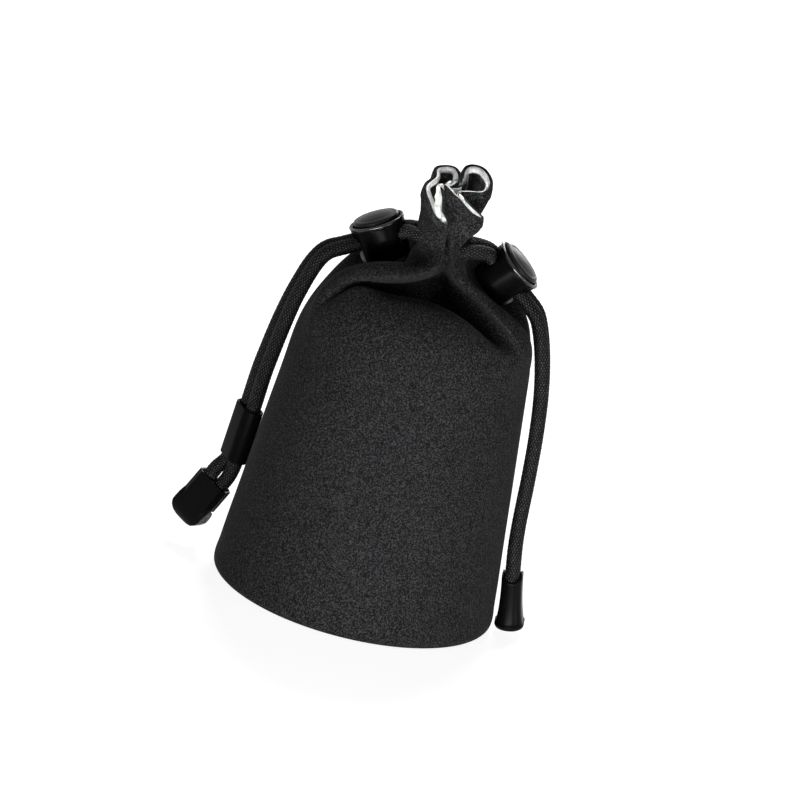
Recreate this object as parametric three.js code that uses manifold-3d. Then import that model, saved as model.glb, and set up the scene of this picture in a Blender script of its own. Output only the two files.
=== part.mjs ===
// Drawstring lens pouch, closed and standing on its base, with two cord locks and dressed cord ends.
// Millimetres, +Z up, origin at the centre of the base, -Y towards the pouch's front.
import * as THREE from 'three';
import { mergeVertices } from 'three/addons/utils/BufferGeometryUtils.js';
import Module from 'manifold-3d';

const wasm = await Module();
wasm.setup();

// Clearances
const seamGap = 0.3;
const cordGap = 0.25;
const slideGap = 0.35;

// Body of the pouch
const baseRadius = 46;
const shoulderRadius = 38;
const shoulderHeight = 83;
const edgeRounding = 3;
const hemLift = 0.3;
const clothThickness = 1.2;
const paddingThickness = 2.5;
const liningThickness = 1;
const basePaddingThickness = 3;
const seamTapeWidth = 5;
const seamTapeThickness = 0.6;

// Gathered neck and mouth
const neckOffset = 2;
const neckHalfWidth = 7;
const neckHalfDepth = 10.8;
const neckSquareness = 3;
const shoulderRise = 32;
const channelWidth = 8.5;
const mouthLength = 14;
const mouthRadius = 9.6;
const mouthTilt = 6;
const mouthPleatDepth = 1.7;
const mouthPleats = 4;
const mouthPleatAngle = 45;

// Folds that run from the neck over the shoulder, by their angles at either end, from +X towards +Y
const folds = [
  { neck: -50, shoulder: -20 },
  { neck: -118, shoulder: -152 },
  { neck: 122, shoulder: 150 },
  { neck: 52, shoulder: 24 },
];
const foldWidth = 14;
const foldFullness = 2.3;
const faceFullness = 1.6;
const hollowFullness = 1.05;
const hollowEasing = 0.5;
const hollowStart = 54;
const foldStart = 60;
const neckDrop = 0.4;

// Braided cord
const cordDiameter = 4.8;
const strandSpacing = 5.8;

// Cord locks, each leaned over sideways. The middle of its cord holes lies this far out from the neck's
// side and this far below the middle of the channel.
const leftLockReach = 13.6;
const leftLockDrop = 1.25;
const leftLockLean = -29;
const rightLockReach = 13.7;
const rightLockDrop = 3.35;
const rightLockLean = 39;
const lockRimRadius = 9;
const lockFootRadius = 7.6;
const lockRimHeight = 5.6;
const lockFootDepth = 7.3;
const lockFloor = 1;
const lockFootRounding = 1.2;
const lockBeadHeight = 1.2;
const lockBeadDepth = 0.25;
const buttonRadius = 7.4;
const buttonSide = 1.7;
const buttonStep = 0.65;
const buttonDome = 1.55;
const buttonTravel = 1.8;
const plungerRadius = 6.35;
const plungerFloor = 0.9;
const lockTravel = 5;
const springWire = 0.6;
const springCurls = 3;
const springInnerRadius = 2.6;
const springSeat = 0.1;

// Sleeve, clip and bell on the tails
const sleeveTop = new THREE.Vector3(-45.9, 10.35, 49.2);
const sleeveBottom = new THREE.Vector3(-47.3, 10.55, 31.1);
const sleeveSpacing = 5.3;
const sleeveTurn = 117;
const sleeveWall = 0.8;
const clipMouth = new THREE.Vector3(-51, 10, 22.3);
const clipLean = 25.6;
const clipTurn = 25;
const clipLength = 17.4;
const clipPinRise = 5.2;
const clipSpacing = 5.1;
const clipWall = 0.75;
const clipBevel = 1.6;
const clipGrip = 6;
const clipPocket = 8.2;
const clipPinRadius = 0.8;
const clipKnuckleRadius = 2;
const clipCheek = 1.5;
const bellMouth = new THREE.Vector3(48.2, 0, 20.6);
const bellLean = 10;
const bellLength = 18.4;
const bellSpacing = 5.2;
const bellWall = 0.7;
const bellFlare = 1.4;
const bellFootRounding = 1.6;
const bellGrip = 7;
const bellPocket = 9;

// How finely round shapes are divided
const wallSegments = 48;
const lockSegments = 30;
const rodSegments = 20;
const cordSides = 8;
const curlSteps = 8;
const springSides = 5;

const radians = THREE.MathUtils.degToRad;
const channelBottom = shoulderHeight + shoulderRise;
const channelTop = channelBottom + channelWidth;
const channelMiddle = channelBottom + channelWidth / 2;
const mouthHeight = channelTop + mouthLength;
const cordRadius = cordDiameter / 2;
const liningInset = clothThickness + seamGap;
const paddedInset = liningInset + paddingThickness + seamGap;
const channelInset = liningInset + cordDiameter + 2 * seamGap;

const pouch = new THREE.Group();

const clothLook = { color: 0x2b2b2c, roughness: 0.9, metalness: 0 };
const plushLook = { color: 0xc9c9c8, roughness: 1, metalness: 0 };
const foamLook = { color: 0x4a4a4c, roughness: 0.95, metalness: 0 };
const tapeLook = { color: 0x1c1c1d, roughness: 0.85, metalness: 0 };
const cordLook = { color: 0x151516, roughness: 0.75, metalness: 0 };
const glossLook = { color: 0x111112, roughness: 0.35, metalness: 0 };
const mattLook = { color: 0x161617, roughness: 0.55, metalness: 0 };
const steelLook = { color: 0xb4b6b8, roughness: 0.35, metalness: 1 };

function add(name, geometry, look, parent = pouch) {
  const mesh = new THREE.Mesh(geometry, new THREE.MeshStandardMaterial(look));
  mesh.name = name;
  parent.add(mesh);
  return mesh;
}

// A skin over a row of rings with equally many points. A closed row joins its last ring to its first,
// and an open one is capped at both ends by fans around their middles.
function skin(rings, closed) {
  const count = rings[0].length;
  const points = rings.flat();
  const faces = [];
  const joins = closed ? rings.length : rings.length - 1;
  for (let ring = 0; ring < joins; ring += 1) {
    const above = (ring + 1) % rings.length;
    for (let side = 0; side < count; side += 1) {
      const next = (side + 1) % count;
      const [a, b] = [ring * count + side, ring * count + next];
      const [c, d] = [above * count + next, above * count + side];
      faces.push(a, b, c, a, c, d);
    }
  }
  if (!closed) {
    const last = (rings.length - 1) * count;
    const middleOf = (ring) => ring.reduce((sum, p) => sum.add(p), new THREE.Vector3()).divideScalar(count);
    points.push(middleOf(rings[0]), middleOf(rings.at(-1)));
    for (let side = 0; side < count; side += 1) {
      const next = (side + 1) % count;
      faces.push(points.length - 2, next, side);
      faces.push(points.length - 1, last + side, last + next);
    }
  }
  const geometry = new THREE.BufferGeometry().setFromPoints(points);
  geometry.setIndex(faces);
  return geometry;
}

// A turned solid about +Z, from profile points of radius and height
function turned(profile, segments) {
  const points = profile.map(([radius, height]) => new THREE.Vector2(radius, height));
  return new THREE.LatheGeometry(points, segments).rotateX(Math.PI / 2);
}

function polygon(radius, sides) {
  const turn = (2 * Math.PI) / sides;
  const corners = Array.from({ length: sides }, (_, i) => [Math.cos(i * turn), Math.sin(i * turn)]);
  return new THREE.Shape(corners.map(([x, y]) => new THREE.Vector2(radius * x, radius * y)));
}

function tube(points, radius, steps) {
  const extrudePath = new THREE.CatmullRomCurve3(points, false, 'centripetal');
  return new THREE.ExtrudeGeometry(polygon(radius, cordSides), { steps, bevelEnabled: false, extrudePath });
}

function box(width, depth, height, x, y, z) {
  return new THREE.BoxGeometry(width, depth, height).translate(x, y, z);
}

// A rod along X
function rod(radius, length, x, y, z) {
  const shape = new THREE.CylinderGeometry(radius, radius, length, rodSegments);
  return shape.rotateZ(Math.PI / 2).translate(x, y, z);
}

function solid(geometry) {
  const bare = new THREE.BufferGeometry().setAttribute('position', geometry.getAttribute('position'));
  bare.setIndex(geometry.getIndex());
  const merged = mergeVertices(bare, 1e-4);
  const corners = merged.getIndex().array;
  const triVerts = [];
  for (let i = 0; i < corners.length; i += 3) {
    const [a, b, c] = corners.slice(i, i + 3);
    if (a !== b && b !== c && c !== a) {
      triVerts.push(a, b, c);
    }
  }
  return new wasm.Manifold(new wasm.Mesh({
    numProp: 3,
    vertProperties: Float32Array.from(merged.getAttribute('position').array),
    triVerts: Uint32Array.from(triVerts),
  }));
}

function cut(body, ...tools) {
  return tools.reduce((rest, tool) => rest.subtract(solid(tool)), body);
}

function geometryOf(body) {
  const mesh = body.getMesh();
  const geometry = new THREE.BufferGeometry();
  geometry.setAttribute('position', new THREE.BufferAttribute(mesh.vertProperties, 3));
  geometry.setIndex(new THREE.BufferAttribute(mesh.triVerts, 1));
  return geometry;
}

// Shape of the wall. Every station gives a ring at some height, drawn in by one amount at the sides
// and another at front and back, so that cloth, padding and lining follow each other.
const angles = Array.from({ length: wallSegments }, (_, i) => (2 * Math.PI * i) / wallSegments);

function ringOf(pointAt) {
  return angles.map((angle) => {
    const { radius, height, shift } = pointAt(angle);
    return new THREE.Vector3(shift + radius * Math.cos(angle), radius * Math.sin(angle), height);
  });
}

function neckRadius(angle, sideInset, faceInset) {
  const across = Math.abs(Math.cos(angle)) / (neckHalfWidth - sideInset);
  const along = Math.abs(Math.sin(angle)) / (neckHalfDepth - faceInset);
  return (across ** neckSquareness + along ** neckSquareness) ** (-1 / neckSquareness);
}

// How far the shoulder bulges out, as the power of its curve: 1 is a straight slope and 2 an ellipse.
// It is hollow beside the locks, fuller at front and back, and fullest along the folds.
function shoulderFullness(angle, rise) {
  const hollow = hollowFullness + hollowEasing * Math.max(0, 1 - rise / hollowStart);
  const face = THREE.MathUtils.lerp(hollow, faceFullness, Math.sin(angle) ** 2);
  const fold = folds.reduce((most, { neck, shoulder }) => {
    const middle = THREE.MathUtils.lerp(shoulder, neck, Math.min(1, rise / foldStart));
    const away = THREE.MathUtils.euclideanModulo(angle - radians(middle) + Math.PI, 2 * Math.PI) - Math.PI;
    return Math.max(most, Math.exp(-((away / radians(foldWidth)) ** 2)));
  }, 0);
  return THREE.MathUtils.lerp(face, Math.max(face, foldFullness), fold);
}

function bodyRing(height, inset, rounding = 0) {
  const slope = (shoulderRadius - baseRadius) / shoulderHeight;
  const radius = baseRadius + slope * height - rounding - inset;
  return ringOf(() => ({ radius, height, shift: 0 }));
}

function shoulderRing(rise, sideInset, faceInset) {
  return ringOf((angle) => {
    const power = 2 / shoulderFullness(angle, rise);
    const outward = Math.cos(radians(rise)) ** power;
    const upward = Math.sin(radians(rise)) ** power;
    const inner = neckRadius(angle, sideInset, faceInset);
    const radius = inner + (shoulderRadius - sideInset - inner) * outward;
    const climb = shoulderRise - sideInset * neckDrop;
    return { radius, height: shoulderHeight + climb * upward, shift: neckOffset * (1 - outward) };
  });
}

function channelRing(height, sideInset, faceInset) {
  return ringOf((angle) => ({ radius: neckRadius(angle, sideInset, faceInset), height, shift: neckOffset }));
}

function mouthRing(share, sideInset, faceInset) {
  return ringOf((angle) => {
    const pleat = mouthPleatDepth * Math.cos(mouthPleats * (angle - radians(mouthPleatAngle)));
    const open = mouthRadius - sideInset + pleat;
    const radius = THREE.MathUtils.lerp(neckRadius(angle, sideInset, faceInset), open, share);
    const rim = mouthHeight + mouthTilt * Math.sin(angle);
    return { radius, height: channelTop + (rim - channelTop) * share, shift: neckOffset };
  });
}

// Where the rings lie: on the shoulder in degrees of its curve, in the mouth as shares of its length
const shoulderRises = [12, 26, 40, 54, 68, 80];
const neckRise = 90;
const mouthShares = [0.4, 0.75, 1];

// The rings of one face of the wall above its straight part
function upperRings(lowerInset, upperInset, neckFaceInset) {
  const insetAt = (rise) => THREE.MathUtils.lerp(lowerInset, upperInset, (rise / neckRise) ** 3);
  const faceAt = (rise) => THREE.MathUtils.lerp(insetAt(rise), neckFaceInset, rise / neckRise);
  const shoulder = shoulderRises.map((rise) => shoulderRing(rise, insetAt(rise), faceAt(rise)));
  const channel = [channelBottom, channelTop].map((height) => channelRing(height, upperInset, neckFaceInset));
  const mouth = mouthShares.map((share) => {
    const faceInset = THREE.MathUtils.lerp(neckFaceInset, upperInset, share);
    return mouthRing(share, upperInset, faceInset);
  });
  return [...shoulder, ...channel, ...mouth];
}

// Cord route through the neck. It is straight inside each lock, where the tails begin, and bends round the
// lining from one lock to the other. Each bend is given from the middle of the channel.
const leftLockX = neckOffset - neckHalfWidth - leftLockReach;
const rightLockX = neckOffset + neckHalfWidth + rightLockReach;
const leftLock = new THREE.Vector3(leftLockX, 0, channelMiddle - leftLockDrop);
const rightLock = new THREE.Vector3(rightLockX, 0, channelMiddle - rightLockDrop);

function lockPoint(lock, lean, along, side) {
  const y = (side * strandSpacing) / 2;
  return new THREE.Vector3(along, y, 0).applyAxisAngle(new THREE.Vector3(0, 1, 0), radians(lean)).add(lock);
}

const leftLockPoint = (outward, side) => lockPoint(leftLock, leftLockLean, -outward, side);
const rightLockPoint = (outward, side) => lockPoint(rightLock, rightLockLean, outward, side);
const channelCordDepth = neckHalfDepth - clothThickness - seamGap - cordRadius;
const lockApproach = [seamGap / 2, 5, 9];
const channelBends = [
  { across: -6.6, depth: 5, lift: 2.4 },
  { across: -3, depth: channelCordDepth, lift: 0.8 },
  { across: 0, depth: channelCordDepth, lift: 0 },
  { across: 3, depth: channelCordDepth, lift: 0.4 },
  { across: 6.8, depth: 5.2, lift: 2 },
];

function channelRoute(side) {
  const fromLeft = lockApproach.map((inward) => leftLockPoint(-inward, side));
  const round = channelBends.map(({ across, depth, lift }) => {
    return new THREE.Vector3(neckOffset + across, side * depth, channelMiddle + lift);
  });
  const toRight = lockApproach.map((inward) => rightLockPoint(-inward, side)).reverse();
  return [...fromLeft, ...round, ...toRight];
}

const strands = { front: -1, back: 1 };
const channelSteps = 20;

// Outer cloth, with the slits that the cords leave the channel by
const hemRounding = edgeRounding * 0.75;
const clothEdge = [
  bodyRing(hemLift, 0, hemRounding),
  bodyRing(edgeRounding * 0.3, 0, edgeRounding * 0.3),
  bodyRing(edgeRounding, 0),
];
const clothHem = [
  bodyRing(edgeRounding, clothThickness),
  bodyRing(hemLift + clothThickness, clothThickness, edgeRounding * 0.45),
];
const clothOuter = [...clothEdge, bodyRing(shoulderHeight, 0), ...upperRings(0, 0, 0)];
const clothUpperInner = upperRings(clothThickness, clothThickness, clothThickness);
const clothInner = [...clothUpperInner.reverse(), bodyRing(shoulderHeight, clothThickness), ...clothHem];
const slits = Object.values(strands).map((side) => {
  return tube(channelRoute(side), cordRadius + cordGap, channelSteps);
});
const cloth = cut(solid(skin([...clothOuter, ...clothInner], true)), ...slits);
add('outer_wall', geometryOf(cloth), clothLook);

// Foam in the straight part of the wall
const basePaddingBottom = clothThickness + seamGap;
const basePaddingTop = basePaddingBottom + basePaddingThickness;
const paddingRings = [
  bodyRing(edgeRounding, liningInset),
  bodyRing(shoulderHeight, liningInset),
  bodyRing(shoulderHeight, liningInset + paddingThickness),
  bodyRing(edgeRounding, liningInset + paddingThickness),
];
add('wall_padding', skin(paddingRings, true), foamLook);

// Plush lining from the base to the mouth's rim, clear of the cords in the channel
const liningBottom = basePaddingTop + seamGap;
const liningOuter = [
  bodyRing(liningBottom, paddedInset),
  bodyRing(shoulderHeight, paddedInset),
  ...upperRings(paddedInset, liningInset, channelInset),
];
const liningInner = [
  ...upperRings(
    paddedInset + liningThickness,
    liningInset + liningThickness,
    channelInset + liningThickness,
  ).reverse(),
  bodyRing(shoulderHeight, paddedInset + liningThickness),
  bodyRing(liningBottom, paddedInset + liningThickness),
];
add('wall_lining', skin([...liningOuter, ...liningInner], true), plushLook);

// Base of three discs, and the tape over its seam
function disc(radius, bottom, thickness) {
  const top = bottom + thickness;
  return turned([[0, bottom], [radius, bottom], [radius, top], [0, top]], wallSegments);
}

const baseClothRadius = baseRadius - hemRounding - clothThickness - seamGap;
const basePaddingRadius = baseRadius - paddedInset - seamGap;
const baseLiningRadius = baseRadius - paddedInset - liningThickness - 2 * seamGap;
add('base_outer', disc(baseClothRadius, 0, clothThickness), clothLook);
add('base_padding', disc(basePaddingRadius, basePaddingBottom, basePaddingThickness), foamLook);
add('base_lining', disc(baseLiningRadius, liningBottom, liningThickness), plushLook);

const tapeBottom = liningBottom + liningThickness + seamGap;
const tapeInset = paddedInset + liningThickness + seamGap;
const tapeRings = [
  bodyRing(tapeBottom, tapeInset),
  bodyRing(tapeBottom + seamTapeWidth, tapeInset),
  bodyRing(tapeBottom + seamTapeWidth, tapeInset + seamTapeThickness),
  bodyRing(tapeBottom, tapeInset + seamTapeThickness),
];
add('base_seam_tape', skin(tapeRings, true), tapeLook);

// Cord locks: a tapered barrel with two cord holes, a slotted button and the spring under it
const holeRadius = cordRadius + cordGap;
const boreRadius = plungerRadius + slideGap;
const recessRadius = buttonRadius + slideGap;
const recessFloor = lockRimHeight - buttonSide - seamGap - buttonTravel;
const barrelFloor = lockFloor - lockFootDepth;

function barrelGeometry() {
  const profile = [
    [0, -lockFootDepth],
    [lockFootRadius - lockFootRounding, -lockFootDepth],
    [lockFootRadius, lockFootRounding - lockFootDepth],
    [lockRimRadius - lockBeadDepth, lockRimHeight - lockBeadHeight],
    [lockRimRadius, lockRimHeight - lockBeadHeight + lockBeadDepth],
    [lockRimRadius, lockRimHeight - lockBeadDepth],
    [lockRimRadius - lockBeadDepth, lockRimHeight],
    [recessRadius, lockRimHeight],
    [recessRadius, recessFloor],
    [boreRadius, recessFloor],
    [boreRadius, barrelFloor],
    [0, barrelFloor],
  ];
  const holes = Object.values(strands).map((side) => {
    return rod(holeRadius, 3 * lockRimRadius, 0, (side * strandSpacing) / 2, 0);
  });
  return geometryOf(cut(solid(turned(profile, lockSegments)), ...holes));
}

const plungerBottom = -holeRadius - plungerFloor;
const domeRises = [0, 22, 44, 66];

function buttonGeometry() {
  const capBottom = lockRimHeight - buttonSide;
  const capTop = lockRimHeight + buttonStep;
  const dome = domeRises.map((rise) => {
    const turn = radians(rise);
    return [buttonRadius * Math.cos(turn), capTop + buttonDome * Math.sin(turn)];
  });
  const profile = [
    [0, plungerBottom],
    [plungerRadius, plungerBottom],
    [plungerRadius, capBottom],
    [buttonRadius, capBottom],
    ...dome,
    [0, capTop + buttonDome],
  ];
  const slots = Object.values(strands).map((side) => {
    const y = (side * strandSpacing) / 2;
    const length = 3 * plungerRadius;
    const low = solid(rod(holeRadius, length, 0, y, 0));
    const high = solid(rod(holeRadius, length, 0, y, buttonTravel));
    return low.add(high).add(solid(box(length, 2 * holeRadius, buttonTravel, 0, y, buttonTravel / 2)));
  });
  return geometryOf(slots.reduce((rest, slot) => rest.subtract(slot), solid(turned(profile, lockSegments))));
}

// A conical spring, so that its curls nest when the button goes down
function springCentres() {
  const low = barrelFloor + springWire / 2 + springSeat;
  const high = plungerBottom - springWire / 2 - springSeat;
  const outerRadius = boreRadius - springWire - seamGap;
  const steps = springCurls * curlSteps;
  return Array.from({ length: steps + 1 }, (_, step) => {
    const share = step / steps;
    const turn = 2 * Math.PI * springCurls * share;
    const radius = THREE.MathUtils.lerp(outerRadius, springInnerRadius, share);
    return new THREE.Vector3(radius * Math.cos(turn), radius * Math.sin(turn), low + (high - low) * share);
  });
}

function springGeometry() {
  const centres = springCentres();
  const up = new THREE.Vector3(0, 0, 1);
  const rings = centres.map((centre) => {
    const outward = new THREE.Vector3(centre.x, centre.y, 0).normalize();
    return Array.from({ length: springSides }, (_, side) => {
      const turn = (2 * Math.PI * side) / springSides;
      const ring = outward.clone().multiplyScalar(Math.cos(turn)).addScaledVector(up, Math.sin(turn));
      return ring.multiplyScalar(springWire / 2).add(centre);
    });
  });
  return skin(rings.reverse(), false);
}

function leastSpringGap() {
  const centres = springCentres();
  let least = Infinity;
  centres.forEach((centre, i) => {
    centres.slice(i + curlSteps - 1).forEach((other) => {
      least = Math.min(least, centre.distanceTo(other) - springWire);
    });
  });
  return least;
}

console.log(`least gap between the curls of a lock's spring: ${leastSpringGap().toFixed(2)} mm`);

function addLock(name, place, lean) {
  const lock = new THREE.Group();
  lock.position.copy(place);
  lock.rotation.y = radians(lean);
  add(`${name}_lock_barrel`, barrelGeometry(), glossLook, lock);
  add(`${name}_lock_button`, buttonGeometry(), glossLook, lock);
  add(`${name}_lock_spring`, springGeometry(), steelLook, lock);
  pouch.add(lock);
}

addLock('left', leftLock, leftLockLean);
addLock('right', rightLock, rightLockLean);

// Cords in the channel
for (const [strand, side] of Object.entries(strands)) {
  add(`channel_cord_${strand}`, tube(channelRoute(side), cordRadius, channelSteps), cordLook);
}

// Left tails: straight out of the lock, down beside the wall, through the sleeve and into the clip
const straightTail = lockRimRadius + lockTravel;
const straightStops = [seamGap / 2, 5, 10, straightTail - 1, straightTail];
const sleeveAxis = sleeveBottom.clone().sub(sleeveTop).normalize();
const sleeveAcross = new THREE.Vector3(Math.cos(radians(sleeveTurn)), Math.sin(radians(sleeveTurn)), 0);
const clipAxis = new THREE.Vector3(-Math.sin(radians(clipLean)), 0, -Math.cos(radians(clipLean)));
const clipAcross = new THREE.Vector3(Math.cos(radians(clipLean)), 0, -Math.sin(radians(clipLean)));
clipAcross.applyAxisAngle(clipAxis, radians(clipTurn));
const sleevePoint = (end, side) => end.clone().addScaledVector(sleeveAcross, (side * sleeveSpacing) / 2);

function clipPoint(depth, side) {
  const middle = clipMouth.clone().addScaledVector(clipAxis, depth);
  return middle.addScaledVector(clipAcross, (-side * clipSpacing) / 2);
}

function straightPoints(lockAt, side) {
  return straightStops.map((outward) => lockAt(outward, side));
}

const pointsOf = (list) => list.map(([x, y, z]) => new THREE.Vector3(x, y, z));

const leftFrontFall = pointsOf([
  [-33, -2.85, 109.8],
  [-34.8, -2.7, 107.6],
  [-36.2, -2.4, 104.7],
  [-37.4, -2, 101.2],
  [-38.5, -1.4, 97.2],
  [-40, -0.3, 90.8],
  [-41.1, 1, 84.2],
  [-42.1, 2.4, 77.2],
  [-43, 4, 70],
  [-43.8, 5.6, 62.8],
]);
const leftBackFall = pointsOf([
  [-33.2, 3, 110],
  [-35.3, 3.2, 108.1],
  [-37.1, 3.5, 105.2],
  [-38.6, 3.9, 101.6],
  [-39.9, 4.4, 97.4],
  [-41.6, 5.3, 91],
  [-43, 6.4, 84.3],
  [-44.2, 7.6, 77.2],
  [-45.2, 9, 70],
  [-46.1, 10.4, 62.8],
]);
const leftFrontTurn = pointsOf([
  [-46.5, 8.5, 28],
  [-47.4, 8.8, 24.6],
]);
const leftBackTurn = pointsOf([
  [-50, 12.6, 28.3],
  [-51.7, 11.9, 26.1],
]);

function leftTail(fall, turn, side) {
  const sleeved = [-cordRadius, 0].map((on) => sleevePoint(sleeveTop, side).addScaledVector(sleeveAxis, on));
  const leaving = [0, cordGap].map((on) => sleevePoint(sleeveBottom, side).addScaledVector(sleeveAxis, on));
  const gripped = [0, clipGrip / 2, clipGrip].map((depth) => clipPoint(depth, side));
  return [...straightPoints(leftLockPoint, side), ...fall, ...sleeved, ...leaving, ...turn, ...gripped];
}

const leftTailSteps = 22;
add('left_cord_front', tube(leftTail(leftFrontFall, leftFrontTurn, -1), cordRadius, leftTailSteps), cordLook);
add('left_cord_back', tube(leftTail(leftBackFall, leftBackTurn, 1), cordRadius, leftTailSteps), cordLook);

// Right tails: out of the lock, down beside the wall and into the bell, one behind the other
const bellAxis = new THREE.Vector3(Math.sin(radians(bellLean)), 0, -Math.cos(radians(bellLean)));

function bellPoint(depth, side) {
  const point = bellMouth.clone().addScaledVector(bellAxis, depth);
  return point.setY((side * bellSpacing) / 2);
}

const rightFall = pointsOf([
  [35.5, 2.9, 104.9],
  [37.3, 2.9, 101.2],
  [39, 2.9, 96.4],
  [40.6, 2.9, 90.7],
  [42, 2.85, 84.5],
  [43.2, 2.85, 77.6],
  [44.1, 2.8, 70.4],
  [44.8, 2.8, 63.2],
  [45.3, 2.75, 56],
  [45.7, 2.7, 49],
  [46, 2.65, 42],
  [46.4, 2.6, 35],
  [47, 2.6, 28.6],
]);

function rightTail(side) {
  const fall = rightFall.map((point) => new THREE.Vector3(point.x, side * point.y, point.z));
  const gripped = [0, bellGrip / 2, bellGrip].map((depth) => bellPoint(depth, side));
  return [...straightPoints(rightLockPoint, side), ...fall, ...gripped];
}

const rightTailSteps = 20;
for (const [strand, side] of Object.entries(strands)) {
  add(`right_cord_${strand}`, tube(rightTail(side), cordRadius, rightTailSteps), cordLook);
}

// A flat round-ended outline around two strands side by side along X
function strandOutline(spacing, radius) {
  const outline = new THREE.Shape();
  outline.absarc(spacing / 2, 0, radius, -Math.PI / 2, Math.PI / 2, false);
  outline.absarc(-spacing / 2, 0, radius, Math.PI / 2, (3 * Math.PI) / 2, false);
  return outline;
}

// Places a piece made along -Z, so that its -Z lies along the axis given and its X along the other
function placed(origin, axis, across) {
  const group = new THREE.Group();
  const up = axis.clone().negate();
  const sideways = across.clone().addScaledVector(up, -across.dot(up)).normalize();
  const frame = new THREE.Matrix4().makeBasis(sideways, new THREE.Vector3().crossVectors(up, sideways), up);
  group.quaternion.setFromRotationMatrix(frame);
  group.position.copy(origin);
  pouch.add(group);
  return group;
}

// Sleeve around the two left tails
const sleeveLength = sleeveTop.distanceTo(sleeveBottom);
const sleeveOutline = strandOutline(sleeveSpacing, cordRadius + cordGap + sleeveWall);
sleeveOutline.holes.push(strandOutline(sleeveSpacing, cordRadius + cordGap));
const sleeveShape = { depth: sleeveLength, bevelEnabled: false, curveSegments: 8 };
const sleeve = new THREE.ExtrudeGeometry(sleeveOutline, sleeveShape).translate(0, 0, -sleeveLength);
add('cord_sleeve', sleeve, mattLook, placed(sleeveTop, sleeveAxis, sleeveAcross));

// Clip on the left tails: base behind, lid in front, joined by a pin at the closed end. The base ends in
// a knuckle on the pin. The lid's cheeks hold the pin beside it, and its rounded end covers it.
const clip = placed(clipMouth, clipAxis, clipAcross);
const pocketWidth = clipSpacing + cordDiameter + 2 * cordGap;
const clipHalfDepth = cordRadius + cordGap + clipWall;
const clipWidth = pocketWidth + 2 * clipWall;
const pinZ = clipPinRise - clipLength;
const cheekTop = pinZ + clipHalfDepth + seamGap;
const knuckleWidth = clipWidth - 2 * (clipCheek + seamGap);
const cheekX = (clipWidth - clipCheek) / 2;
const clipHollows = [
  box(pocketWidth, 2 * (cordRadius + cordGap), 2 * clipPocket, 0, 0, 0),
  rod(clipPinRadius + cordGap, 2 * clipWidth, 0, 0, pinZ),
];

// The clip as seen from its face, with a rounded closed end. The corners are given by how far they lie in
// from its sides and up from its closed end.
const clipCorners = [[0, 3.8], [0.6, 2.4], [1.7, 1.2], [3.4, 0.4]];

function clipOutline() {
  const half = clipWidth / 2;
  const right = clipCorners.map(([inward, rise]) => [half - inward, rise - clipLength]);
  const left = right.map(([x, z]) => [-x, z]).reverse();
  const corners = [[-half, 0], [half, 0], ...right, [0, -clipLength], ...left];
  const outline = new THREE.Shape(corners.reverse().map(([x, z]) => new THREE.Vector2(x, z)));
  const shape = new THREE.ExtrudeGeometry(outline, { depth: 2 * clipHalfDepth, bevelEnabled: false });
  return solid(shape.rotateX(Math.PI / 2).translate(0, clipHalfDepth, 0));
}

// Half of the clip's body, from the mouth down to some height, on the side that its face points to
function shell(face, bottom) {
  const half = clipWidth / 2;
  const outside = face * clipHalfDepth;
  const outline = new THREE.Shape([
    new THREE.Vector2(-half, (face * seamGap) / 2),
    new THREE.Vector2(half, (face * seamGap) / 2),
    new THREE.Vector2(half, outside - face * clipBevel),
    new THREE.Vector2(half - clipBevel, outside),
    new THREE.Vector2(clipBevel - half, outside),
    new THREE.Vector2(-half, outside - face * clipBevel),
  ]);
  const shape = new THREE.ExtrudeGeometry(outline, { depth: -bottom, bevelEnabled: false });
  return solid(shape.translate(0, 0, bottom));
}

function clipBaseGeometry() {
  const depth = clipHalfDepth - seamGap / 2;
  const length = cheekTop + clipWall - pinZ;
  const arm = box(knuckleWidth, depth, length, 0, clipHalfDepth - depth / 2, pinZ + length / 2);
  const knuckle = rod(clipKnuckleRadius, knuckleWidth, 0, 0, pinZ);
  const body = shell(1, cheekTop).add(solid(arm)).add(solid(knuckle));
  return geometryOf(cut(body, ...clipHollows));
}

function clipLidGeometry() {
  const behindY = clipHalfDepth - seamGap / 2;
  const behind = box(2 * clipWidth, 2 * clipHalfDepth, 3 * clipPinRise, 0, behindY, pinZ);
  const longEnd = rod(clipHalfDepth, clipWidth, 0, 0, 0).scale(1, 1, clipPinRise / clipHalfDepth);
  const roundEnd = cut(solid(longEnd.translate(0, 0, pinZ)), behind);
  const room = rod(clipKnuckleRadius + seamGap, knuckleWidth + 2 * seamGap, 0, 0, pinZ);
  const cover = cut(shell(-1, pinZ).add(roundEnd), room);
  const cheeks = [-cheekX, cheekX].map((x) => solid(rod(clipHalfDepth, clipCheek, x, 0, pinZ)));
  const body = cheeks.reduce((whole, cheek) => whole.add(cheek), cover);
  return geometryOf(cut(body.intersect(clipOutline()), ...clipHollows));
}

add('clip_base', clipBaseGeometry(), glossLook, clip);
add('clip_lid', clipLidGeometry(), glossLook, clip);
add('clip_pin', rod(clipPinRadius, clipWidth, 0, 0, pinZ), steelLook, clip);

// Bell end: a flared cup, oval in plan, with a pocket for the two tails
function bellRing(depth, radius) {
  const outline = strandOutline(bellSpacing, radius).getPoints(8).slice(0, -1);
  return outline.map((point) => new THREE.Vector3(point.x, point.y, -depth));
}

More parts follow.
